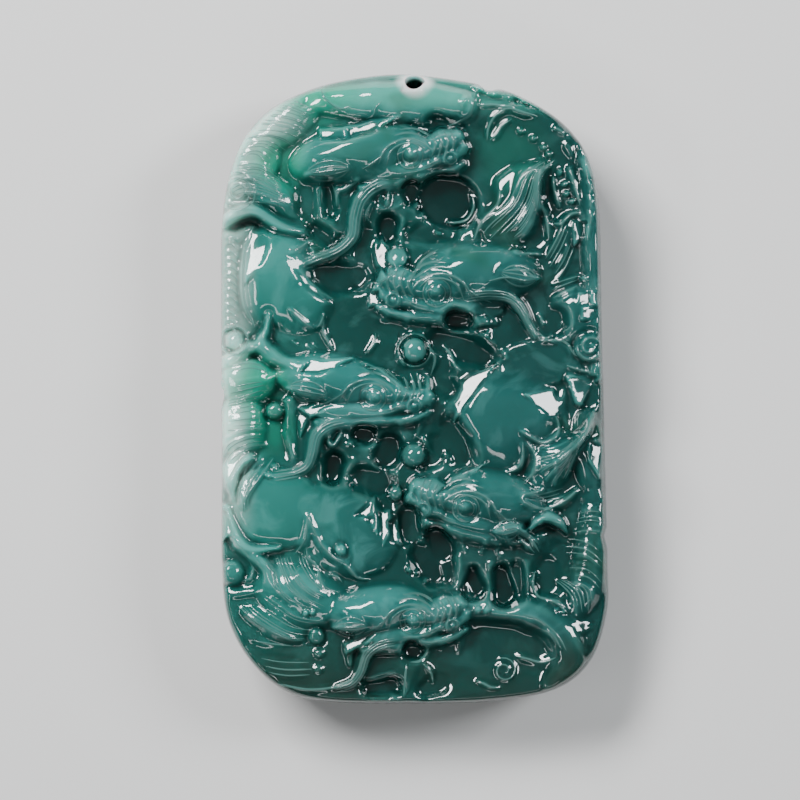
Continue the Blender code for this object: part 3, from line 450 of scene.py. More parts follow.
# The heads
# Five long-snouted dragon heads with smooth skulls, ringed eyes, swept brow ridges, wrinkled noses
# and ribbed lips. Each is cut on the same pattern and turned to face right or left.


def dragon_head(eye, facing, tilt, size, skull, ear):
    c, s = turned(tilt)

    def at(points):
        return [(eye[0] + facing * size * (u * c - v * s), eye[1] + size * (u * s + v * c))
                for u, v in points]

    def wide(values):
        return [value * size for value in values]

    middle, half_long, half_high, lean = skull
    limb(at([(-7, -1.5), (-3.4, -1.9), (0.6, -1.7), (3.2, -1.2)]), wide([1, 1.7, 1.7, 1]),
         [11.2, 11.8, 11.8, 11.6], foot=8.6, ditch=0, fade=0.35)
    limb(at([(-6.8, -3), (-3, -3.3), (1, -3), (4.4, -2.6), (6.6, -1.8)]),
         wide([0.6, 0.8, 0.8, 0.8, 0.5]), [11, 11.3, 11.3, 11.5, 11.4], foot=8.2, ditch=0.3)
    swell(at([middle])[0], (half_long * size, half_high * size), 13.4, 9,
          facing * (tilt + lean), 0.5)
    limb(at([(0.6, 1), (2.4, 0.7), (4.4, 1.2), (6, 1.5)]), wide([2.1, 1.7, 2, 1.4]),
         [12.7, 12.4, 13, 12.8], foot=8.6)
    limb(at([(3, -1), (4.8, -0.9), (6.6, 0)]), wide([0.9, 1.1, 1]), [12, 12.2, 12.2],
         foot=8.4, ditch=0.2)
    # The eye: a ball in a ringed socket
    lump(eye, (1.9 * size, 1.8 * size), 0.3)
    ring(eye, 1.6 * size, 0.3 * size, -0.2)
    ring(eye, 1.0 * size, 0.28 * size, -0.16)
    lump(eye, (0.6 * size, 0.6 * size), 0.18)
    # Brow ridges and the folds behind the eye
    for points, widths, rise in (
            ([(-4.2, -0.6), (-3, 1.2), (-1.2, 2.1), (0.6, 2.1), (2, 1.3), (2.9, 0.1)],
             [0.15, 0.25, 0.3, 0.35, 0.35, 0.25], 0.5),
            ([(-3.2, -0.8), (-2.3, 0.9), (-0.8, 1.6), (0.9, 1.5), (2.1, 0.5)],
             [0.15, 0.22, 0.25, 0.25, 0.2], 0.35),
            ([(-1.8, 2.8), (0, 3), (1.5, 2.5), (2.9, 1.3)], [0.2, 0.32, 0.36, 0.25], 0.6),
            ([(-1, 3.5), (0.8, 3.5), (2.2, 2.8), (3.2, 1.7)], [0.2, 0.28, 0.3, 0.2], 0.4),
            ([(-6.4, -0.9), (-4.8, -0.3), (-3.4, 0.6)], [0.15, 0.25, 0.15], 0.25)):
        ridge(at(points), wide(widths), rise)
    # The wrinkled nose, nostril and lobe
    for u, top, foot_v, bow in ((3, 2, -0.6, 0.35), (3.8, 2.6, -0.9, 0.4), (4.6, 3, -0.9, 0.4),
                                (5.4, 3.1, -0.5, 0.3)):
        ridge(at([(u - 0.1, top), (u + bow, 1.2), (u + 0.1, 0.2), (u - 0.5, foot_v)]),
              wide([0.2, 0.36, 0.36, 0.15]), 0.65)
    lump(at([(6.6, 1.9)])[0], (0.75 * size, 0.7 * size), 0.5)
    lump(at([(7.1, 0.5)])[0], (0.6 * size, 0.55 * size), 0.5)
    ring(at([(5, -1)])[0], 0.75 * size, 0.24 * size, 0.35)
    lump(at([(5, -1)])[0], (0.35 * size, 0.35 * size), 0.4)
    # Lip lines
    groove(at([(-6, -2.3), (-2.4, -2.6), (1.2, -2.3), (3.6, -1.7)]), 0.28 * size, 0.45)
    for lift in (-0.5, -0.1):
        ridge(at([(0.8, lift - 1.6), (2.2, lift - 1.3), (3.8, lift - 0.7)]), wide([0.12, 0.2, 0.15]), 0.3)
    groove(at([(-5.8, -3.3), (-2, -3.6), (2, -3.3), (5.6, -2.5)]), 0.2 * size, 0.3)
    # Fangs
    limb(at([(5.8, -2.6), (5.6, -3.8), (5.2, -4.9)]), wide([0.5, 0.4, 0.12]))
    limb(at([(3.4, -3), (3.2, -4.1)]), wide([0.35, 0.12]))
    # The ear, a leaf with ribs in it
    low, high = np.array(ear[0]), np.array(ear[1])
    across = np.array([-(high - low)[1], (high - low)[0]])
    across = across / np.hypot(*across) * size
    spine = [low + (high - low) * k + across * 0.25 * math.sin(math.pi * k) for k in (0, 0.33, 0.66, 1)]
    limb(spine, wide([0.25, 1.1, 1.2, 0.3]), [11.8, 12.6, 12.6, 12.2], foot=8.6, ditch=0.5)
    for rib in (-1.2, -0.6, -0.1, 0.5, 1.2):
        ridge([low + (high - low) * k + across * (0.15 + rib * math.sin(math.pi * k) ** 0.7)
               for k in (0.02, 0.2, 0.4, 0.6, 0.8, 0.98)], 0.2 * size, 0.25)


# eye, facing, tilt, size, (skull's middle, half length, half height, lean), (ear's tip, ear's root)
HEADS = [
    ((-0.5, 28.1), 1, 8, 0.95, ((-6.6, 1.4), 8.8, 3.7, 4), ((-13.2, 25.8), (-7.6, 26.5))),
    ((2.7, 11.6), -1, 2, 1.05, ((-4.6, 2.5), 7.4, 3.5, -3), ((15, 13.4), (10.4, 14.2))),
    ((-5, -1), 1, 0, 1, ((-4.9, 2.2), 7, 3.2, -6), ((-15.4, 0.1), (-10.4, -0.9))),
    ((6.2, -14.4), -1, 10, 1, ((-3.2, 1.9), 6.2, 3.3, 4), ((13, -16.4), (9.6, -17.2))),
    ((-0.2, -28), 1, 6, 0.95, ((-4.4, 2), 6.6, 3.2, 2), ((-9.8, -28.8), (-5.6, -28.7))),
]
for head in HEADS:
    dragon_head(*head)

# The drilled recesses
# Mouths and the dark places round them are drilled blind from the front and opened out with a
# round bur.
RECESSES = [
    ([(3.4, 22.8), (4.6, 22.5)], [2.7, 2.8], 7.6, 1), ([(-0.3, 24), (-0.2, 23.4)], [0.8, 0.85], 8.08, 0.9),
    ([(-3.2, 19.9), (-3.3, 18.9)], [0.95, 0.9], 7.84, 0.9),
    ([(-0.4, 18.8), (1.6, 18.9), (4.2, 18.9)], [0.6, 1, 0.6], 8.44, 1),
    ([(-5.7, 18.6), (-6.2, 16.6), (-5.4, 14.4)], [0.6, 0.9, 0.7], 8.68, 1.2),
    ([(-11.4, 14), (-9.6, 13.4), (-7.2, 13.5)], [0.8, 1.5, 1.1], 8.2, 1.2),
    ([(-10.4, 24.2), (-10.4, 22.4), (-10.2, 21.4)], [0.35, 0.5, 0.4], 8.68, 0.9),
    ([(-12.9, 23.8), (-13, 21.8)], [0.6, 0.7], 9.04, 1.3),
    ([(-12, 19.2), (-10.9, 18.6), (-9.4, 17.6)], [0.4, 0.6, 0.5], 8.44, 1.1),
    ([(7.4, 25.8), (7.2, 27)], [0.6, 0.5], 9.04, 1.1), ([(8.4, 24.6), (8.8, 22.8)], [0.7, 0.5], 9.16, 1.2),
    ([(2.9, 5.9), (4.4, 5.4), (6.6, 4.6), (8.6, 3.8)], [0.8, 1.1, 1.2, 0.7], 8.08, 1.2),
    ([(4.9, 8.2), (5.9, 8)], [0.9, 0.8], 8.2, 0.9),
    ([(9.8, 7.4), (11.6, 6.5), (12.6, 5.6)], [0.4, 0.9, 0.5], 10.48, 1.6),
    ([(8.6, 9.3), (10, 9), (11.6, 8.9)], [0.4, 0.6, 0.4], 10.12, 1.4),
    ([(-3.6, 7.2), (-2.2, 6.8)], [0.6, 0.7], 9.16, 1.3), ([(-3.2, 3.6), (-2.4, 4.8)], [0.5, 0.6], 9.4, 1.2),
    ([(3.6, 3), (3.2, 1.4), (4.2, 0)], [0.7, 0.8, 0.6], 8.68, 1.2),
    ([(-2, 3), (-0.4, 1.4), (0.8, 1.2)], [0.6, 0.7, 0.5], 9.52, 1.3),
    ([(17, 8.6), (17.2, 7.8)], [0.8, 0.7], 9.52, 1.3),
    ([(-6.4, -5.6), (-5.8, -5.7)], [0.85, 0.9], 8.08, 0.8),
    ([(-3, -6.8), (-3.4, -8)], [1.1, 1.3], 7.84, 0.9),
    ([(-9.7, -8.9), (-9.9, -10.4)], [0.9, 0.75], 7.84, 0.9),
    ([(-6.2, -10.8), (-4.4, -11.2)], [1, 1.3], 8.2, 1.2),
    ([(4.2, -4.6), (5, -6.4), (5.8, -8.2)], [0.6, 1.1, 0.9], 8.8, 1.6),
    ([(2.8, -6.4), (2.4, -8.2), (1.2, -8.8)], [0.5, 0.7, 0.5], 8.68, 1.1),
    ([(-15.2, -7.8), (-15.2, -9)], [0.5, 0.4], 9.88, 1),
    ([(-0.6, -15.4), (-0.6, -17.2), (0.2, -18)], [0.9, 1, 0.7], 8.32, 1),
    ([(2.6, -17.9), (3.4, -19.4)], [0.8, 1.2], 7.72, 1),
    ([(0.8, -20), (1.8, -21.6), (2.4, -22.6)], [0.9, 1.2, 0.8], 7.84, 1.1),
    ([(4.1, -21.4), (4.1, -22.8)], [0.6, 0.6], 8.2, 0.9),
    ([(7.1, -22.2), (7.2, -24)], [0.35, 1.2], 7.72, 0.85),
    ([(10.5, -22.4), (10.9, -24.8)], [0.75, 1.2], 7.72, 0.9),
    ([(12.4, -21.8), (12.4, -24.6)], [0.5, 0.7], 8.44, 0.9),
    ([(16, -21.8), (16, -23.8)], [0.9, 1], 8.56, 1.2),
    ([(-3.6, -12.4), (-3.2, -14)], [0.6, 0.5], 8.92, 1.1),
    ([(-0.3, -31.6), (0.4, -32)], [0.7, 0.6], 8.44, 0.9),
    ([(-5.4, -36.2), (-3.2, -35.9), (-2.2, -36)], [0.5, 0.8, 0.5], 8.08, 0.9),
    ([(1.3, -36.4), (2.8, -35.6)], [0.5, 0.8], 8.68, 1.1)]
for points, widths, floor, wall in RECESSES:
    recess(points, widths, floor, wall)

height = rub(height, 1)

# Jaws, whiskers and pearls
# Thin forms that stand between the recesses: ribbon-like jaws and beards, whiskers, teeth, and
# the pearls under the chins. They are left standing as the stone beside them is drilled away.
RIBBONS = [
    ([(-3.4, 25), (-5.2, 24.2), (-6.6, 22.6), (-7.2, 20.4), (-7.5, 18.4), (-9.2, 16.8), (-11.6, 15.8),
     (-13.6, 15)], [0.8, 1.2, 1.3, 1.1, 0.9, 0.8, 0.8, 0.4], 11.5),
    ([(-8.4, -3.9), (-10.4, -4.4), (-11.8, -5.6), (-12.3, -7.6), (-12.9, -9.2), (-14.2, -10), (-17, -10.5)],
     [0.8, 1.2, 1.2, 1, 0.7, 0.6, 0.4], 11.7),
    ([(-2.2, -30.4), (-4.4, -31), (-5.8, -32.2), (-6.4, -34), (-7.6, -35.6), (-9.6, -36.2)],
     [0.7, 1, 1, 0.8, 0.5, 0.2], 11.2),
    ([(6.2, 11), (9, 11.3), (11.4, 11), (12.8, 9.8), (13.8, 8), (14.7, 6.4)], [0.5, 0.8, 1, 1, 0.7, 0.5],
     12)]
for points, widths, crest in RIBBONS:
    limb(points, widths, [crest - 0.8, crest - 0.5, crest - 0.5, crest - 0.7, crest - 1], foot=8, ditch=0.3)
    line, wide = bend(points, 2), np.mean(widths)
    run = np.gradient(line, axis=0)
    beside = np.stack([-run[:, 1], run[:, 0]], 1) / np.hypot(*run.T)[:, None]
    for shift in (-0.62, -0.2, 0.25, 0.66):
        ridge(line + beside * shift * wide, 0.17 + 0.06 * abs(shift), 0.34)
LIMBS = [
    # necks and webs
    ([(-11.5, 25), (-11.4, 22.6), (-11.4, 20.8), (-10.4, 19.8), (-9.2, 18.2)], [0.6, 0.6, 0.6, 0.7, 0.4]),
    ([(-9.5, 24.8), (-9.4, 23.2), (-9.4, 22)], [0.35, 0.35, 0.15]),
    ([(-9.4, 23.8), (-8.2, 24.4), (-6.5, 25.3)], [0.5, 0.45, 0.2]),
    ([(-15, -1.6), (-15, -4.6), (-14.6, -8.2)], [0.9, 0.9, 0.6], [9.8]),
    ([(-15.9, -4.9), (-15.3, -6.4), (-14.5, -8.4)], [0.2, 0.35, 0.2]),
    ([(-13.4, -2.2), (-12.6, -2.7), (-10.7, -2.2)], [0.3, 0.5, 0.15]),
    ([(-13.3, -2.4), (-13.6, -3.6), (-13.7, -5)], [0.5, 0.35, 0.15]),
    ([(-5.2, -29.6), (-6.2, -30.6), (-8.4, -30.8)], [0.2, 0.6, 0.5]),
    ([(-7.9, -31.4), (-7.8, -33.2)], [0.9, 0.5], [10]),
    # teeth and lips
    ([(-1.3, 21), (-1.6, 19.6), (-2, 18.4)], [0.2, 0.3, 0.2]),
    ([(0.2, 20), (-1.6, 18.4), (-1.2, 16.6)], [0.25, 0.35, 0.2]),
    ([(-4.6, 22.2), (-3.8, 21.7), (-2.8, 21.8), (-1.5, 22.5), (-1.5, 23.4)], [0.2, 0.25, 0.25, 0.3, 0.2]),
    ([(-3.9, 23.8), (-4.3, 22.6)], [0.35, 0.25]),
    ([(-3.1, 24.2), (-3.2, 23), (-3.3, 21.9)], [0.2, 0.25, 0.15]),
    ([(-5, 22.8), (-5.6, 21.7), (-5.9, 20.4)], [0.2, 0.35, 0.12]),
    ([(0.9, 21.6), (1.1, 21), (1.6, 20.5), (2.2, 20.1)], [0.25, 0.35, 0.3, 0.2]),
    ([(6.6, 24.2), (7.2, 22.8), (7, 21.2), (6.2, 20.3), (5, 20.1), (3.8, 20.3)],
     [0.2, 0.25, 0.25, 0.25, 0.25, 0.15]),
    ([(3.3, 7.7), (4.4, 7.1), (5.6, 6.9), (6.8, 7.1)], [0.2, 0.3, 0.35, 0.2]),
    ([(7.9, 6.7), (8.6, 6.6), (9.2, 7.4)], [0.3, 0.5, 0.15]),
    ([(8.6, 6.6), (9.2, 5.9), (10, 5.4)], [0.4, 0.3, 0.12]),
    ([(7.7, 9.6), (8.1, 8.8), (8.6, 8.3), (9.2, 8)], [0.15, 0.25, 0.25, 0.12]),
    ([(10.5, 4.8), (11, 4.2), (11.3, 3.5)], [0.15, 0.25, 0.12]),
    ([(-8.5, -6.7), (-7.6, -6.5), (-7.1, -6.1)], [0.15, 0.3, 0.3]),
    ([(-6.9, -6.3), (-6.2, -6.9), (-5.2, -7), (-4.7, -6.3)], [0.2, 0.25, 0.3, 0.2]),
    ([(-7.2, -8.1), (-7.5, -9), (-8.4, -10.2)], [0.3, 0.35, 0.2]),
    ([(-5.1, -8.6), (-4.8, -9.4), (-4, -9.8)], [0.2, 0.3, 0.15]),
    ([(-3, -10.1), (-1.7, -10.1)], [0.3, 0.3]),
    ([(-9.9, -5), (-10.4, -6.2), (-9.9, -6.9), (-9.2, -6), (-8.7, -4.8)], [0.2, 0.3, 0.3, 0.25, 0.15]),
    ([(0.9, -5.6), (1.4, -6.6), (2.2, -8)], [0.25, 0.6, 0.2]),
    ([(3.4, -7.8), (4, -8), (4.7, -8.9)], [0.15, 0.25, 0.15]), ([(0.9, -17.8), (0.7, -18.8)], [0.3, 0.12]),
    ([(5.3, -19.6), (5.4, -21), (5.1, -22.4), (4.8, -23.6)], [0.35, 0.5, 0.35, 0.2]),
    ([(9.2, -20.6), (9.3, -22.8), (9.4, -25.4)], [0.5, 0.4, 0.4]),
    ([(13.5, -20.6), (13.6, -23), (13.4, -25.4)], [0.4, 0.3, 0.35]),
    ([(14.8, -22), (14.4, -23.4), (15, -24.9), (16.4, -25.4), (17.8, -26), (18.8, -27)],
     [0.2, 0.3, 0.35, 0.35, 0.35, 0.2]),
    ([(6.2, -23.4), (6.6, -24.8), (7.6, -25.6), (8.6, -25.2), (8.8, -24)], [0.15, 0.25, 0.25, 0.25, 0.15]),
    ([(5.4, -17.6), (5.9, -18.8), (6.2, -19.9)], [0.15, 0.3, 0.2]),
    ([(8.6, -18.2), (8.4, -19.2), (7.9, -19.9)], [0.3, 0.35, 0.2]),
    ([(10, -18.6), (10.1, -19.6), (10.6, -20.4)], [0.15, 0.25, 0.15])]
for points, widths, *crests in LIMBS:
    limb(points, widths, *crests, foot=8.2, ditch=0.2)
LINES = [
    # whiskers
    ([(14.2, 7.6), (15, 6.1), (16.2, 5.9), (17.6, 5.9), (18.6, 5.4), (19.2, 4.4), (19.8, 3.9)],
     [0.3, 0.4, 0.4, 0.4, 0.45, 0.4, 0.2]),
    ([(15, 9.2), (15.4, 8.4), (15.7, 7.6)], [0.15, 0.25, 0.15]),
    ([(16.8, 6.6), (15.8, 6.2), (15, 7)], [0.2, 0.3, 0.15]),
    ([(-15.2, 16.8), (-13.9, 17), (-13, 17.7), (-12.2, 18.1)], [0.5, 0.35, 0.25, 0.12]),
    ([(-12.7, 17.3), (-12.2, 16.6), (-12.4, 15.8)], [0.15, 0.3, 0.15]),
    ([(-2.4, 14.4), (-3, 13.5), (-4.2, 12.9), (-5.4, 12.9)], [0.15, 0.25, 0.25, 0.15]),
    ([(1.5, 5.5), (2.2, 4.6), (2.5, 3.4), (2, 1.7)], [0.15, 0.25, 0.25, 0.15]),
    ([(-4.7, 6.8), (-4.8, 5.7), (-5.3, 4.9), (-6, 4.2)], [0.2, 0.35, 0.3, 0.15]),
    ([(3.4, 5.4), (4.4, 4.2), (4.9, 2.9), (5.7, 2.2)], [0.12, 0.22, 0.25, 0.15]),
    ([(-15.2, 9.9), (-14.2, 8.8), (-13, 7.8), (-12, 7.2)], [0.1, 0.25, 0.35, 0.25]),
    ([(-10.8, 9.3), (-11.3, 8), (-12, 7.2)], [0.1, 0.25, 0.3]),
    ([(-10.9, 8.4), (-11, 7), (-10.4, 5.8), (-9.8, 4.6)], [0.12, 0.32, 0.3, 0.15]),
    ([(4.2, 31.9), (5.6, 32.4), (6.8, 33.2), (7.2, 34.8), (7.4, 36.3)], [0.25, 0.4, 0.45, 0.45, 0.4]),
    ([(5.6, 34.3), (6, 34.8), (6.5, 35.3)], [0.3, 0.35, 0.15]),
    ([(8.8, 30.1), (9, 31.6), (9.8, 33), (11.4, 33.9), (13.4, 33.4), (15, 33)],
     [0.15, 0.3, 0.35, 0.45, 0.45, 0.25]),
    ([(9.1, 30.1), (10, 30.9), (10.6, 31.8), (11.8, 32.7)], [0.2, 0.45, 0.3, 0.2]),
    ([(7.6, 34.3), (9.6, 34.4), (12.2, 34.1)], [0.2, 0.3, 0.2]),
    ([(16.6, 31.7), (17.6, 31.3), (18.3, 30.6)], [0.2, 0.4, 0.2]),
    # flames on the lower left coil
    ([(-12.9, -14.8), (-13, -16.8), (-13.3, -18.4), (-14.4, -19.8)], [0.1, 0.28, 0.4, 0.3]),
    ([(-12.9, -14.8), (-12.2, -16.8), (-11.3, -18.6), (-9.9, -20.2), (-8.5, -20.8)],
     [0.1, 0.28, 0.35, 0.35, 0.3]),
    ([(-8.5, -20.8), (-7.6, -22), (-6.8, -22.8), (-5.2, -23)], [0.3, 0.3, 0.25, 0.12]),
    ([(-13.1, -19.2), (-12.8, -20.4), (-11.8, -21.4), (-11.4, -22.8), (-10.9, -24)],
     [0.2, 0.35, 0.35, 0.35, 0.2]),
    ([(-10.4, -22.3), (-9.3, -22.7), (-8.7, -23.4)], [0.15, 0.25, 0.12]),
    # edges of the fan, the panel and the ball, and thin rims of the recesses
    ([(17, -3), (17.5, -4.5), (17, -5.8), (15.5, -6.4), (14.3, -6), (12.7, -4.9)], 0.25),
    ([(16.8, 25.8), (17, 24), (17.7, 21.8)], 0.25), ([(18.7, 27), (19.3, 25), (20.1, 22)], 0.3),
    ([(16.8, 20), (17.8, 20.1), (19, 21.2), (20.2, 21.3)], 0.25),
    ([(17, 27.8), (15.6, 26.3), (15.2, 24), (15.3, 22.5), (16, 20.5), (16.3, 18)], 0.4),
    ([(10.4, 24), (10, 22.3), (8.2, 20.3), (7.2, 18)], 0.25),
    ([(12.2, 16.9), (12.6, 16.5), (15.5, 16.3)], 0.25),
    ([(13.6, -6.3), (14.6, -8), (14.4, -10), (13.2, -11.2)], 0.25),
    ([(13.1, -6.3), (13.1, -8.5), (12.4, -9.6), (11, -10.1)], 0.25),
    ([(14.6, -22), (14.4, -23.6), (15, -25), (16.6, -25.5), (17.8, -26.3), (18.6, -27.1)], 0.35),
    ([(7.1, 23.5), (7.2, 22), (6.4, 20.6), (5, 20.2), (3.8, 20.3)], 0.2),
    ([(0.8, 21.6), (1, 21.1), (1.3, 20.6)], 0.25), ([(-5, 22.8), (-5.8, 21.3), (-5.9, 20.3)], 0.3),
    ([(-10, 24.8), (-9.5, 23.6), (-9.4, 22.1)], 0.25), ([(-9.3, 23.9), (-8, 24.4), (-6.5, 25.3)], 0.3),
    ([(-3.1, 24.1), (-3.2, 23), (-3.3, 22)], 0.2),
    ([(-10.4, -5), (-10.4, -6.3), (-9.9, -6.8), (-9.3, -6.2), (-8.7, -4.8)], 0.2),
    # crest and gill folds of the fourth dragon
    ([(12.6, -12.8), (13.4, -13.7), (14.6, -14.3), (16.2, -14.4), (18.2, -13.5), (20, -11.9)],
     [0.2, 0.35, 0.45, 0.5, 0.5, 0.3]),
    ([(12.6, -12.7), (14.2, -12.5), (15.8, -12.1)], [0.2, 0.3, 0.2]),
    ([(12, -16.5), (13.4, -17.5), (14.4, -18.6), (15.2, -19.8)], [0.2, 0.4, 0.5, 0.3]),
    ([(12.2, -17.4), (13.4, -18.6), (14.6, -19.8)], [0.2, 0.4, 0.3]),
    # beard by the bottom rim
    ([(-0.9, -33), (-1.1, -34.8), (-1.3, -37.2)], [1.4, 1, 0.12]),
    ([(1.9, -30.9), (1.3, -32.2), (0.6, -32.9), (-0.6, -33)], [0.25, 0.35, 0.35, 0.2]),
    ([(1.1, -33.2), (2, -34.2), (2.3, -35.7)], [0.25, 0.35, 0.15]),
    ([(-5.9, -35.2), (-4, -34.9), (-2.2, -34.2)], [0.25, 0.4, 0.3]),
    ([(7.3, -35.2), (8.4, -35.6), (9.2, -36), (10.4, -36.1)], [0.15, 0.3, 0.3, 0.15]),
    ([(12, -32.2), (13.6, -32.6), (15.4, -33), (17.2, -32.4)], [0.3, 0.5, 0.6, 0.5])]
for points, widths in LINES:
    ridge(points, np.array(widths) + 0.12, 0.75, 0.2)

for centre, radius, top in (
        ((-2.1, 15.9), 1.3, 11.6), ((0, 4.7), 1.5, 11.8), ((-0.1, -8), 1.45, 11.2), ((-16.9, -2.6), 1, 11),
        ((-2.3, -12.6), 0.9, 11.2), ((-11.8, -29.9), 1, 10.6), ((-8.9, -19.4), 0.65, 12.3),
        ((21.2, 5.1), 1.9, 11.5)):
    pearl(centre, radius, top, ditch=0.35)
ring((0, 4.7), 1.95, 0.25, 0.5)
lump((10.9, -33.9), (2, 1.9), 0.4)
lump((-11.5, -32), (0.9, 0.8), 0.4)
lump((-11.6, -33.8), (0.8, 0.8), 0.35)


def scroll(centre, radius, start, rise, hand=1):
    """A spiral line on a boss."""
    wind = np.linspace(0, 1, 25)
    angle = math.radians(start) + hand * wind * 1.7 * 2 * math.pi
    reach = radius * (1 - 0.85 * wind)
    line = np.stack([centre[0] + reach * np.cos(angle), centre[1] + reach * np.sin(angle)], 1)
    strand(line, 0.34, rise)


scroll((21.2, 5.1), 1.75, 200, 0.3)
scroll((10.9, -34), 1.6, 130, 0.18, hand=-1)
for x, y, across, along in (
        (8, 36.3, 0.8, 0.6), (9.9, 35.9, 1, 0.7), (11.4, 35.4, 1.1, 0.8), (13.2, 34.7, 0.8, 0.6),
        (12.9, 31.2, 0.6, 0.5), (14.4, 30.3, 0.6, 0.5), (15.7, 29.2, 0.6, 0.5), (16.3, 28.4, 0.6, 0.5),
        (0.3, 22.3, 0.5, 0.45), (2.9, 18.9, 0.6, 0.35), (-0.6, -21.8, 0.6, 0.5), (0.3, -22.2, 0.5, 0.4),
        (1.4, -23.1, 0.45, 0.4), (7.7, -26.6, 0.4, 0.4), (8.8, -26.6, 0.45, 0.5), (17.2, -26.6, 0.35, 0.3),
        (18, -26.9, 0.4, 0.3), (-13.1, -27, 0.45, 0.5), (-12.3, -26.9, 0.4, 0.45), (-16.9, -9.3, 0.6, 0.5),
        (-17.6, -10.4, 0.6, 0.45), (20.4, 13.4, 0.6, 0.45), (6.4, 29.3, 0.5, 0.45), (-0.4, -12, 0.5, 0.9),
        (1.9, -2, 0.4, 0.35)):
    lump((x, y), (across, along), 0.7, -20)
for points, widths, rise in (
        ([(19.6, 5.4), (19.9, 4.2), (20.9, 3.4), (22, 4)], [0.2, 0.4, 0.45, 0.2], 0.7),
        ([(18.4, 2.9), (20, 2.3), (21.8, 2)], [0.2, 0.35, 0.2], 0.6),
        ([(-11.2, 37), (-11, 35.4), (-9.6, 34.1), (-8.6, 33.8), (-7.7, 34.2)], [0.2, 0.3, 0.3, 0.25, 0.15],
         0.4),
        ([(-3.9, 34.7), (-4.7, 33.9), (-4.9, 33.1), (-5.9, 32.6)], [0.15, 0.22, 0.22, 0.12], 0.35),
        ([(-1.5, 37), (-1.2, 36.2), (0.2, 35.9), (1.3, 36.4)], [0.2, 0.3, 0.3, 0.15], 0.35),
        ([(0.9, 32), (1.4, 32.2), (2, 32.2)], [0.1, 0.2, 0.1], 0.4),
        ([(18, 7), (18.9, 7.5), (19.1, 8.5)], [0.15, 0.28, 0.15], 0.4),
        ([(17.6, 7.4), (17.9, 8.2)], [0.15, 0.15], 0.3), ([(-14.9, 6), (-14, 5.2)], [0.2, 0.2], 0.4),
        ([(-13.2, 5.4), (-12.4, 4.8)], [0.2, 0.2], 0.45), ([(-12.4, 5.6), (-11.6, 4.9)], [0.2, 0.2], 0.4),
        ([(8.9, 13), (11.2, 13.4), (13.8, 12.9)], [0.15, 0.25, 0.15], 0.3),
        ([(11.8, 14.6), (13.2, 14.3), (14.6, 14.4)], [0.15, 0.35, 0.2], 0.5),
        ([(3, 17), (1, 15.6), (0, 14), (-0.8, 12.3)], [0.2, 0.4, 0.3, 0.2], 0.3),
        ([(12.9, -27.1), (15, -27.8), (17.2, -29.6), (18.4, -31.6)], [0.15, 0.22, 0.25, 0.15], 0.3),
        ([(15.3, -28.9), (16.8, -29.8), (17.7, -31.3)], [0.2, 0.35, 0.2], 0.4)):
    ridge(points, widths, rise)

# The rounded rim and hand polish
# The face is rounded down to a full rim all round, then polished by hand with fine abrasive, which
# leaves flat places on the round forms and faint waves that make the reflections wander.
GIRDLE = 7.4
FRONT_ROUNDING = 0.8
FACET_SOFTNESS = 0.35
broad = rub(height, 90)
height = rub(broad + np.where(height > broad, 0.66, 0.85) * (height - broad), 1)


def facet(corners, light, tilt):
    """A place polished flat, with corners, facing halfway between the viewer and a light."""
    shape = np.array(corners)
    side = np.roll(shape, -1, axis=0) - shape
    turning = np.sign(side[0, 0] * side[1, 1] - side[0, 1] * side[1, 0])
    inside = np.full(len(px), 9.0)
    for (x, y), (dx, dy) in zip(shape, side):
        inside = np.minimum(inside, turning * (dx * (py - y) - dy * (px - x)) / math.hypot(dx, dy))
    here = np.flatnonzero(inside > -FACET_SOFTNESS)
    c, s = turned(light)
    downhill = (px[here] - shape[:, 0].mean()) * c + (py[here] - shape[:, 1].mean()) * s
    plane = height[here].mean() - math.tan(math.radians(tilt)) * downhill
    share = np.clip(inside[here] / FACET_SOFTNESS + 1, 0, 1)
    height[here] += eased(share) * (plane - height[here])


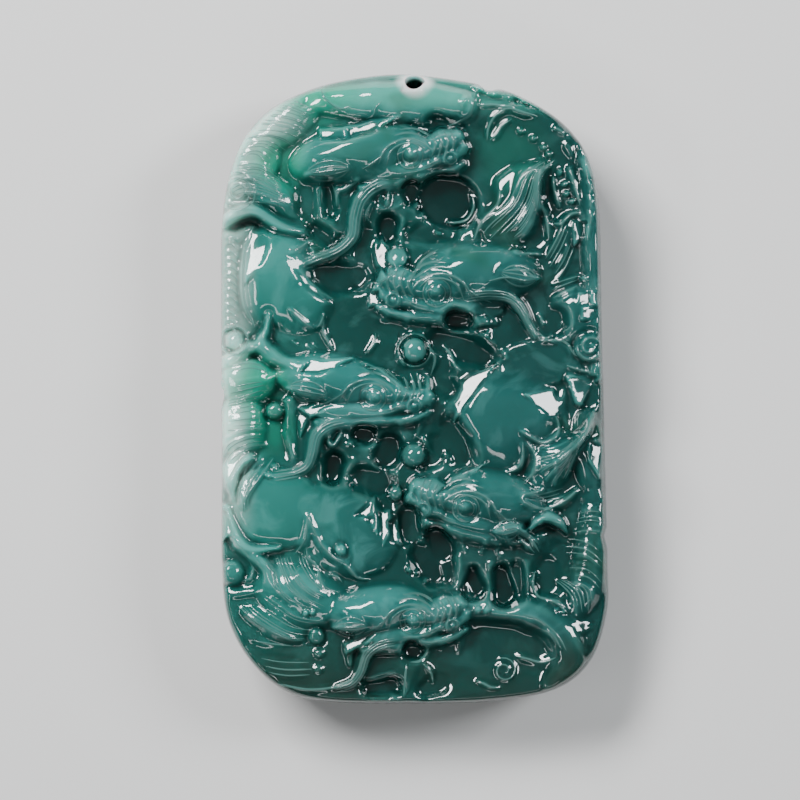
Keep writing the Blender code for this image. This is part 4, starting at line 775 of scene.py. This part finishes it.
# the places that show the left window, then those that show the right one
for corners in (
        # skulls and brows
        [(-11.4, 31.3), (-11.3, 30.3), (-8.4, 30.1), (-6.2, 31), (-6.4, 31.7)],
        [(-8, 31.3), (-7.8, 30.4), (-5.2, 31), (-2.6, 32.6), (-5.2, 32.3)],
        [(-5.5, 11.6), (-4.5, 11.6), (-4.4, 10.3), (-5.4, 10.1)],
        [(-12.6, 3.3), (-8.2, 3.6), (-9.8, 2.6), (-11.6, 1.9), (-13.5, 2.1)],
        [(-5.3, 2.5), (-3.9, 2.3), (-2, 0.6), (-3.3, 1.2)],
        [(0, 14.7), (1.4, 15.5), (4.6, 17.5), (2.8, 16)],
        [(3.5, -12.1), (4.5, -10.9), (7.2, -9.8), (5, -11.5)],
        # coils
        [(-19.5, 18.9), (-17.9, 18.4), (-17.7, 17.3), (-18.4, 15.4), (-20.3, 13.2), (-20.2, 16.5)],
        [(9.6, 2.8), (6.7, 1.4), (5.5, -0.6), (5.1, -3.2)],
        # flames
        [(-6.8, -15.1), (-5, -13.4), (-5.1, -15.3)], [(-5.6, -15.7), (-4.8, -15.3), (-4.7, -17)],
        [(-4.2, -15.1), (-3.1, -14.7), (-2.9, -16.8), (-3.7, -18.4)],
        [(-2.9, -16.1), (-2.2, -15.6), (-1.8, -18.6), (-2.6, -18.2)],
        # webs and teeth
        [(-13.6, -2.4), (-10.7, -2), (-12.6, -3.4)], [(-14, -2.8), (-12.9, -3.4), (-13.7, -5.2)],
        [(-8.4, -30.8), (-5.4, -29.7), (-6.6, -31), (-8.2, -31.8)],
        # crescents beside the pearls
        [(-4.7, 16.4), (-3.9, 18.1), (-3.4, 17.2), (-3.5, 14.2), (-4.5, 15.1)],
        [(-2.3, 4.6), (-1.8, 6.1), (-1.4, 4.7), (-1.3, 3), (-2, 3.5)],
        # left rim and top
        [(-23.4, -9.6), (-21.4, -7.3), (-20.5, -7.8), (-22.7, -11.2)],
        [(-23.5, -14.4), (-22.8, -14.8), (-22, -17.2), (-23.3, -18.2)],
        [(-13.5, 34.2), (-11.6, 34.3), (-11.5, 36), (-12.9, 35.7)],
        [(-1.4, 36.1), (1.3, 36), (1.1, 36.9), (-1.2, 37)]):
    facet(corners, 132, 23)
for corners in (
        [(-15.6, 16.2), (-14.6, 16), (-13.4, 13.4), (-14.2, 13.2)],
        [(-14, 13.9), (-13.2, 13.5), (-10.4, 10.8), (-12.8, 12)],
        [(13.6, -0.7), (16.7, -0.1), (17.4, -2.9), (16.4, -3.2)],
        [(18.6, 1.4), (21.7, 1.3), (20.2, -1.7), (19.6, -1.7)],
        [(19.8, 10.4), (21.1, 10.3), (21, 11.6), (19.9, 11.5)],
        [(21.5, 10.4), (22.3, 10.4), (22.2, 11.5), (21.5, 11.5)],
        [(20.2, 8.5), (22, 8.4), (22, 9.8), (20.3, 9.8)],
        [(19.2, 20.3), (20.6, 20.1), (20.4, 18.6), (19.4, 17.6)],
        [(21.4, -6.5), (22.3, -6.9), (22.2, -10.2), (21.2, -8.6)],
        [(19.1, -28.2), (21.5, -28.2), (20.3, -29.5)],
        [(7.9, 36.4), (10.6, 36.1), (13.3, 34.5), (9.7, 35.4)]):
    facet(corners, 22, 27)
for cut, what, more in fine_cuts:
    cut(*what, **more)
height = rub(height, 1)
rim = sawn_edge(14)
from_rim = np.full(len(px), FRONT_ROUNDING)
for start, end in zip(rim[:-1], rim[1:]):
    here, away, share, left = follow(np.array([start, end]), FRONT_ROUNDING)
    from_rim[here] = np.minimum(from_rim[here], away)
rim_share = np.sqrt(1 - (1 - from_rim / FRONT_ROUNDING) ** 2)
wave = np.zeros(len(px))
polish = np.random.default_rng(3)
for _ in range(26):
    angle, length = polish.uniform(0, 2 * math.pi), polish.uniform(2.2, 6.5)
    phase = polish.uniform(0, 2 * math.pi)
    wave += length * np.sin((px * math.cos(angle) + py * math.sin(angle)) * 2 * math.pi / length + phase)
height += 0.003 * wave
# measures of the carving, kept with the face to place painted sheen on the crests and painted shade in the
# hollows and thin places
stands_proud = height - rub(height, 90)
crest_line = height - rub(height, 12)
stone_left = rub(height, 110)
height = GIRDLE + (height - GIRDLE) * rim_share

# The plaque itself
# One closed body: the carved face, a rim rounded under to a flat polished back, and the slanted
# cord hole drilled through the top. The highest crests are rubbed down level with the slab.
# It is mottled and cloudy, with a brown skin by the bottom rim. Its colour also holds painted light and
# shade: the left rim paler, partly its own paler stone and partly painted light through the thin rim;
# greyer and darker to the right, partly its own tone and partly painted shade away from the left
# window; painted sheen on the crests, painted shade in the hollows and the thin and deep places, and a
# painted glint at the mouth of the cord hole. All of it is polished.
BACK_ROUNDING = 2.6
BACK_STEPS = 4
SPINE_HALF = 14.0
SLAB_FACE = 12.9
RUBBED = 0.9
HOLE_RADIUS = 0.0012
HOLE_TO_TOP_FRONT = 0.0017
HOLE_TO_TOP_BACK = 0.0049
HOLE_MOUTH_HEIGHT = 0.62

over = np.maximum(height - SLAB_FACE, 0)
height = np.minimum(height, SLAB_FACE) + RUBBED * (1 - np.exp(-over / RUBBED))
low, high = np.array(cad_box[0]), np.array(cad_box[1])
span = plan.max(axis=0) - plan.min(axis=0)
spots = np.column_stack([(plan - plan.min(axis=0)) / span, height / height.max()])
spots = low * [1, 1, 0] + spots * (high - low * [1, 1, 0])
for vert, point in zip(slab.verts, spots.tolist()):
    vert.co = point
for name, values in (("stands_proud", stands_proud), ("crest_line", crest_line), ("stone_left", stone_left)):
    layer = slab.verts.layers.float.new(name)
    for vert, value in zip(slab.verts, values.tolist()):
        vert[layer] = value
carved_face = BVHTree.FromBMesh(slab)
edges = [edge for edge in slab.edges if edge.is_boundary]
girdle = {vert: vert.co.copy() for edge in edges for vert in edge.verts}
spine = SPINE_HALF * (high[1] - low[1]) / PLAN_LENGTH
for step in range(1, BACK_STEPS + 1):
    angle = math.radians(90 * step / BACK_STEPS)
    inset = BACK_ROUNDING / 1000 * (1 - math.cos(angle))
    made = bmesh.ops.extrude_edge_only(slab, edges=edges)["geom"]
    edges = [item for item in made if isinstance(item, bmesh.types.BMEdge) and item.is_boundary]
    below = {}
    for vert in {vert for edge in edges for vert in edge.verts}:
        above = next(edge.other_vert(vert) for edge in vert.link_edges if edge.other_vert(vert) in girdle)
        start = girdle[above]
        dx, dy = -start.x, min(max(start.y, -spine), spine) - start.y
        reach = math.hypot(dx, dy)
        inner_x, inner_y = start.x + dx / reach * inset, start.y + dy / reach * inset
        vert.co = (inner_x, inner_y, start.z * (1 - math.sin(angle)))
        below[vert] = start
    girdle = below
bmesh.ops.contextual_create(slab, geom=edges)
bmesh.ops.recalc_face_normals(slab, faces=slab.faces)
bmesh.ops.triangulate(slab, faces=slab.faces)
mesh = bpy.data.meshes.new("carved_plaque")
slab.to_mesh(mesh)
slab.free()


def added(name, data):
    """A new object in the scene."""
    thing = bpy.data.objects.new(name, data)
    bpy.context.scene.collection.objects.link(thing)
    return thing


front_y, back_y = high[1] - HOLE_TO_TOP_FRONT, high[1] - HOLE_TO_TOP_BACK
mouth_z = high[2] * HOLE_MOUTH_HEIGHT
bpy.ops.mesh.primitive_cylinder_add(
    vertices=48, radius=HOLE_RADIUS, depth=high[2] * 3, location=(0, (front_y + back_y) / 2, mouth_z / 2),
    rotation=(-math.atan2(front_y - back_y, mouth_z), 0, 0))
drill = bpy.context.active_object
blank = added("blank", mesh)
bore = blank.modifiers.new("bore", "BOOLEAN")
bore.operation, bore.solver, bore.object = "DIFFERENCE", "EXACT", drill
bpy.context.view_layer.update()
drilled = blank.evaluated_get(bpy.context.evaluated_depsgraph_get())
mesh = bpy.data.meshes.new_from_object(drilled)
bpy.data.objects.remove(blank)
bpy.data.objects.remove(drill)
mesh.shade_smooth()
mesh.set_sharp_from_angle(angle=math.radians(50))

jade = bpy.data.materials.new("polished_jade")
jade.use_nodes = True
nodes, links = jade.node_tree.nodes, jade.node_tree.links
shader = nodes["Principled BSDF"]
place = nodes.new("ShaderNodeTexCoord").outputs["Object"]


def worked_out(kind, inputs, output=0, **settings):
    """One output of a new shader node, with its inputs set or linked."""
    node = nodes.new("ShaderNode" + kind)
    for name, value in settings.items():
        setattr(node, name, value)
    for name, value in inputs.items():
        if isinstance(value, bpy.types.NodeSocket):
            links.new(value, node.inputs[name])
        else:
            node.inputs[name].default_value = value
    return node.outputs[output]


def colour(r, g, b):
    """Linear colour from the eight-bit values that a colour chart gives."""
    return (*[(v / 255 / 12.92 if v <= 10 else ((v / 255 + 0.055) / 1.055) ** 2.4) for v in (r, g, b)], 1)


def times(a, b):
    return worked_out("Math", {0: a, 1: b}, operation="MULTIPLY")


def fade(value, start, end):
    inputs = {"Value": value, "From Min": start, "From Max": end}
    return worked_out("MapRange", inputs, "Result", interpolation_type="SMOOTHSTEP")


def mottle(scale, detail, warp, start, end):
    """Soft clouds in the stone."""
    inputs = {"Vector": place, "Scale": scale, "Detail": detail, "Distortion": warp}
    return fade(worked_out("TexNoise", inputs, "Fac"), start, end)


def near(at, inner, outer):
    """How near a point is to a place on the face, from 0 to 1."""
    away = worked_out("VectorMath", {0: place, 1: (*at, 0.010)}, "Value", operation="DISTANCE")
    return fade(away, outer, inner)


def carved(name, start, end):
    """A measure of the carving, in millimetres, kept with each point of the face."""
    return fade(worked_out("Attribute", {}, "Fac", attribute_name=name), start, end)


def tinted(under, tint, share):
    return worked_out("Mix", {"Factor": share, "A": under, "B": tint}, "Result", data_type="RGBA")


across, along, up = (worked_out("SeparateXYZ", {0: place}, axis) for axis in "XYZ")
# masks for the pale left rim and corner: partly the stone's own colour, partly painted light
left_rim = times(fade(across, -0.0185, -0.0230), fade(along, -0.022, -0.006))
left_corner = near((-0.0215, 0.0335), 0.003, 0.0105)
# painted shade and light: the lower, deeper face is painted darker and the raised face lighter
stone = tinted(colour(17, 70, 66), colour(42, 116, 112), fade(up, 0.0098, 0.0128))
for tint, where, share in (
        # clouds and wisps; lighter to the left and greyer, darker to the right, partly the stone's own tone
        # and partly painted light from the left window and painted shade away from it; pale along the top
        ((20, 94, 87), mottle(90, 4, 0.6, 0.35, 0.68), 0.5),
        ((86, 154, 149), mottle(230, 5, 0.8, 0.48, 0.66), 0.4),
        ((52, 156, 142), fade(across, -0.006, -0.018), 0.3),
        ((20, 58, 58), fade(across, -0.002, 0.010), 0.45),
        ((86, 178, 161), fade(along, 0.0325, 0.0350), 0.7),
        # the pale left rim, partly the stone's own paler colour and partly painted light through the thin
        # rim and a painted reflection of the left window; and green places beside it
        ((214, 255, 242), worked_out("Math", {0: left_rim, 1: left_corner}, operation="MAXIMUM"), 0.9),
        ((24, 161, 130), near((-0.0165, 0.0275), 0.001, 0.0055), 0.85),
        ((24, 161, 130), near((-0.019, 0.0005), 0.001, 0.006), 0.85),
        ((24, 161, 130), near((-0.0175, -0.005), 0.001, 0.0045), 0.85),
        ((24, 161, 130), near((-0.012, 0.036), 0.001, 0.007), 0.85),
        # brown skin by the bottom rim, a green place at the upper right, and olive clouds
        ((37, 53, 41), times(fade(along, -0.026, -0.036), mottle(140, 3, 0, 0.2, 0.6)), 0.85),
        ((39, 137, 116), near((0.0115, 0.0285), 0.001, 0.007), 0.55),
        ((39, 72, 36), mottle(55, 3, 1.2, 0.60, 0.74), 0.4),
        # painted sheen: crests and crest lines lighter; painted shade: hollows and creases darker, and the
        # thin and deep places dark
        ((68, 142, 137), carved("stands_proud", 0.05, 0.9), 0.3),
        ((11, 58, 53), carved("stands_proud", -0.05, -0.9), 0.4),
        ((122, 190, 180), carved("crest_line", 0.01, 0.2), 0.2),
        ((11, 56, 53), carved("crest_line", -0.01, -0.15), 0.3),
        ((6, 56, 51), carved("stone_left", 10.8, 9.3), 0.6),
        ((2, 36, 34), fade(up, 0.0091, 0.0077), 0.8),
        # a painted glint: the mouth of the cord hole painted near white
        ((247, 247, 247), near((0, 0.0366), 0.0012, 0.0028), 0.85)):
    stone = tinted(stone, colour(*tint), times(where, share))
links.new(stone, shader.inputs["Base Color"])
shader.inputs["Roughness"].default_value = 0.06
shader.inputs["IOR"].default_value = 1.66
shader.inputs["Coat Weight"].default_value = 0.25
shader.inputs["Coat IOR"].default_value = 1.6
shader.inputs["Coat Roughness"].default_value = 0.03
shader.inputs["Subsurface Weight"].default_value = 0.8
shader.inputs["Subsurface Radius"].default_value = (0.35, 1.0, 0.92)
shader.inputs["Subsurface Scale"].default_value = 0.0024

mesh.materials.clear()
mesh.materials.append(jade)
plaque = added("carved_plaque", mesh)
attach(plaque, "root")
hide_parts("jade_pendant")

# The finest lines
# Hair, ring and whisker lines two or three tenths of a millimetre wide, cut last with the finest
# point. They are part of the same stone, and lie a little sunk in its carved face.
RIM_LEFT_PLAIN = 0.3
LINE_STEP = 0.24
LINE_TAPER = 1.2
LINE_SINK = 0.012
FROM_ABOVE = 0.02
LINE_SECTION = np.array([(1, 0), (0.55, 0.7), (0, 1), (-0.55, 0.7), (-1, 0), (0, -1.2)])
LINE_PAINTED_SHEEN = 0.16
rim_spots = sawn_edge(16)
corner = plan.min(axis=0)
line_points, line_faces = [], []


def stone_under(x, y):
    """The place on the carved face under a point."""
    return carved_face.ray_cast((x, y, FROM_ABOVE), (0, 0, -1))[0]


def fine_line(points, half_width, rise):
    """A narrow rounded line laid along the carved face, sunk a little into it at both edges."""
    step_at = np.concatenate([[0], np.cumsum(np.hypot(*np.diff(points, axis=0).T))])
    marks = np.linspace(0, step_at[-1], max(int(step_at[-1] / LINE_STEP), 3) + 1)
    middle = np.stack([np.interp(marks, step_at, points[:, k]) for k in (0, 1)], 1)
    seen = low[:2] + (middle - corner) / span * (high - low)[:2]
    from_edge = np.min([np.hypot(*(middle - rim_spot).T) for rim_spot in rim_spots], axis=0)
    on_stone = [stone_under(x, y) is not None for x, y in seen.tolist()]
    kept = np.array(on_stone) & (from_edge > RIM_LEFT_PLAIN)
    middle, marks = middle[kept], marks[kept]
    if len(marks) < 4:
        return
    marks = marks - marks[0]
    run = np.gradient(middle, axis=0)
    beside = np.stack([-run[:, 1], run[:, 0]], 1) / np.maximum(np.hypot(*run.T), 1e-9)[:, None]
    ends = np.clip(np.minimum(marks, marks[-1] - marks) / LINE_TAPER, 0.03, 1) ** 0.6
    wide = (ends * half_width)[:, None, None] * LINE_SECTION[:, 0, None] * beside[:, None]
    spots = low[:2] + (middle[:, None] + wide - corner) / span * (high - low)[:2]
    lifts = ends[:, None] * rise * LINE_SECTION[:, 1] - LINE_SINK
    around, first = len(LINE_SECTION), len(line_points)
    for (x, y), lift in zip(spots.reshape(-1, 2).tolist(), lifts.ravel().tolist()):
        struck = stone_under(x, y)
        level = struck[2] if struck else GIRDLE / 1000
        line_points.append((min(max(x, low[0]), high[0]), y, min(level + lift / 1000, high[2])))
    for row in range(first, len(line_points) - around, around):
        for k in range(around):
            side = (k + 1) % around
            line_faces.append((row + k, row + side, row + side + around, row + k + around))
    line_faces.append(tuple(range(first + around - 1, first - 1, -1)))
    line_faces.append(tuple(range(len(line_points) - around, len(line_points))))


for cut, what, more in fine_cuts:
    if cut.__name__ == "ridge":
        fine_line(bend(what[0], 8), float(np.clip(0.4 * np.max(what[1]) + 0.04, 0.09, 0.17)), 0.075)
    elif cut.__name__ == "strand" and hair.random() < 0.8:
        fine_line(what[0], hair.uniform(0.07, 0.12), 0.05)
    elif cut.__name__ == "ring":
        (x, y), radius = what[:2]
        turn = math.atan2(y, x) + np.linspace(0, 2 * math.pi, 25)
        fine_line(np.stack([x + radius * np.cos(turn), y + radius * np.sin(turn)], 1), 0.1, 0.05)
line_mesh = bpy.data.meshes.new("fine_carved_lines")
line_mesh.from_pydata(line_points, [], line_faces)
line_mesh.shade_smooth()
line_mesh.set_sharp_from_angle(angle=math.radians(60))

line_jade = jade.copy()
line_jade.name = "polished_jade_line"
nodes, links = line_jade.node_tree.nodes, line_jade.node_tree.links
shader = nodes["Principled BSDF"]
stone = shader.inputs["Base Color"].links[0].from_socket
# a painted sheen: the fine lines are tinted paler than the stone under them
links.new(tinted(stone, colour(148, 214, 204), LINE_PAINTED_SHEEN), shader.inputs["Base Color"])
shader.inputs["Subsurface Weight"].default_value = 0.0
line_mesh.materials.append(line_jade)
lines = added("fine_carved_lines", line_mesh)
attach(lines, "root")

# The table it lies on
# A plain pale tabletop, wide enough to fill the picture.
TABLE_HALF = 0.6
table = bmesh.new()
bmesh.ops.create_grid(table, x_segments=1, y_segments=1, size=TABLE_HALF)
table_mesh = bpy.data.meshes.new("tabletop")
table.to_mesh(table_mesh)
table.free()
tabletop = added("tabletop", table_mesh)
paper = bpy.data.materials.new("pale_tabletop")
paper.use_nodes = True
paper_shader = paper.node_tree.nodes["Principled BSDF"]
paper_shader.inputs["Base Color"].default_value = (0.76, 0.76, 0.755, 1)
paper_shader.inputs["Roughness"].default_value = 0.7
table_mesh.materials.append(paper)

# Light and camera
# Two windows, a long one over the upper left corner and a smaller one at the right, with a weak
# ceiling and two weak strips below and at the left. The camera looks straight down on the face.
CAMERA_HEIGHT = 0.6
CAMERA_PLACE = (-0.001768, -0.001341, CAMERA_HEIGHT + 0.004)
FRAME_WIDTH = 0.09756
SENSOR = 36.0
world = bpy.data.worlds.new("studio")
world.use_nodes = True
sky = world.node_tree.nodes["Background"]
sky.inputs["Color"].default_value = (0.75, 0.80, 0.84, 1)
sky.inputs["Strength"].default_value = 0.09
bpy.context.scene.world = world
target = np.array([0, 0, 0.006])
for name, azimuth, rise, distance, size, power, tint in (
        ("window_left", 132, 44, 0.60, (0.34, 0.16), 5.8, (1, 1, 1)),
        ("ceiling", 90, 90, 1.0, (1.2, 1.2), 0.4, (1, 1, 1)),
        ("window_right", 22, 36, 0.60, (0.17, 0.20), 2.5, (0.95, 0.98, 1)),
        ("strip_below", 262, 44, 0.70, (0.50, 0.07), 0.5, (1, 1, 1)),
        ("strip_left", 200, 40, 0.70, (0.34, 0.06), 0.6, (1, 1, 1))):
    a, e = math.radians(azimuth), math.radians(rise)
    away = np.array([math.cos(e) * math.cos(a), math.cos(e) * math.sin(a), math.sin(e)])
    data = bpy.data.lights.new(name, "AREA")
    data.shape = "RECTANGLE"
    data.size, data.size_y = size
    data.energy = power
    data.color = tint
    lamp = added(name, data)
    lamp.location = target + away * distance
    lamp.rotation_euler = (math.pi / 2 - e, 0, a + math.pi / 2)
camera_data = bpy.data.cameras.new("camera")
camera_data.sensor_width = SENSOR
camera_data.lens = SENSOR * CAMERA_HEIGHT / FRAME_WIDTH
camera_data.clip_start = 0.01
camera = added("camera", camera_data)
camera.location = CAMERA_PLACE
bpy.context.scene.camera = camera
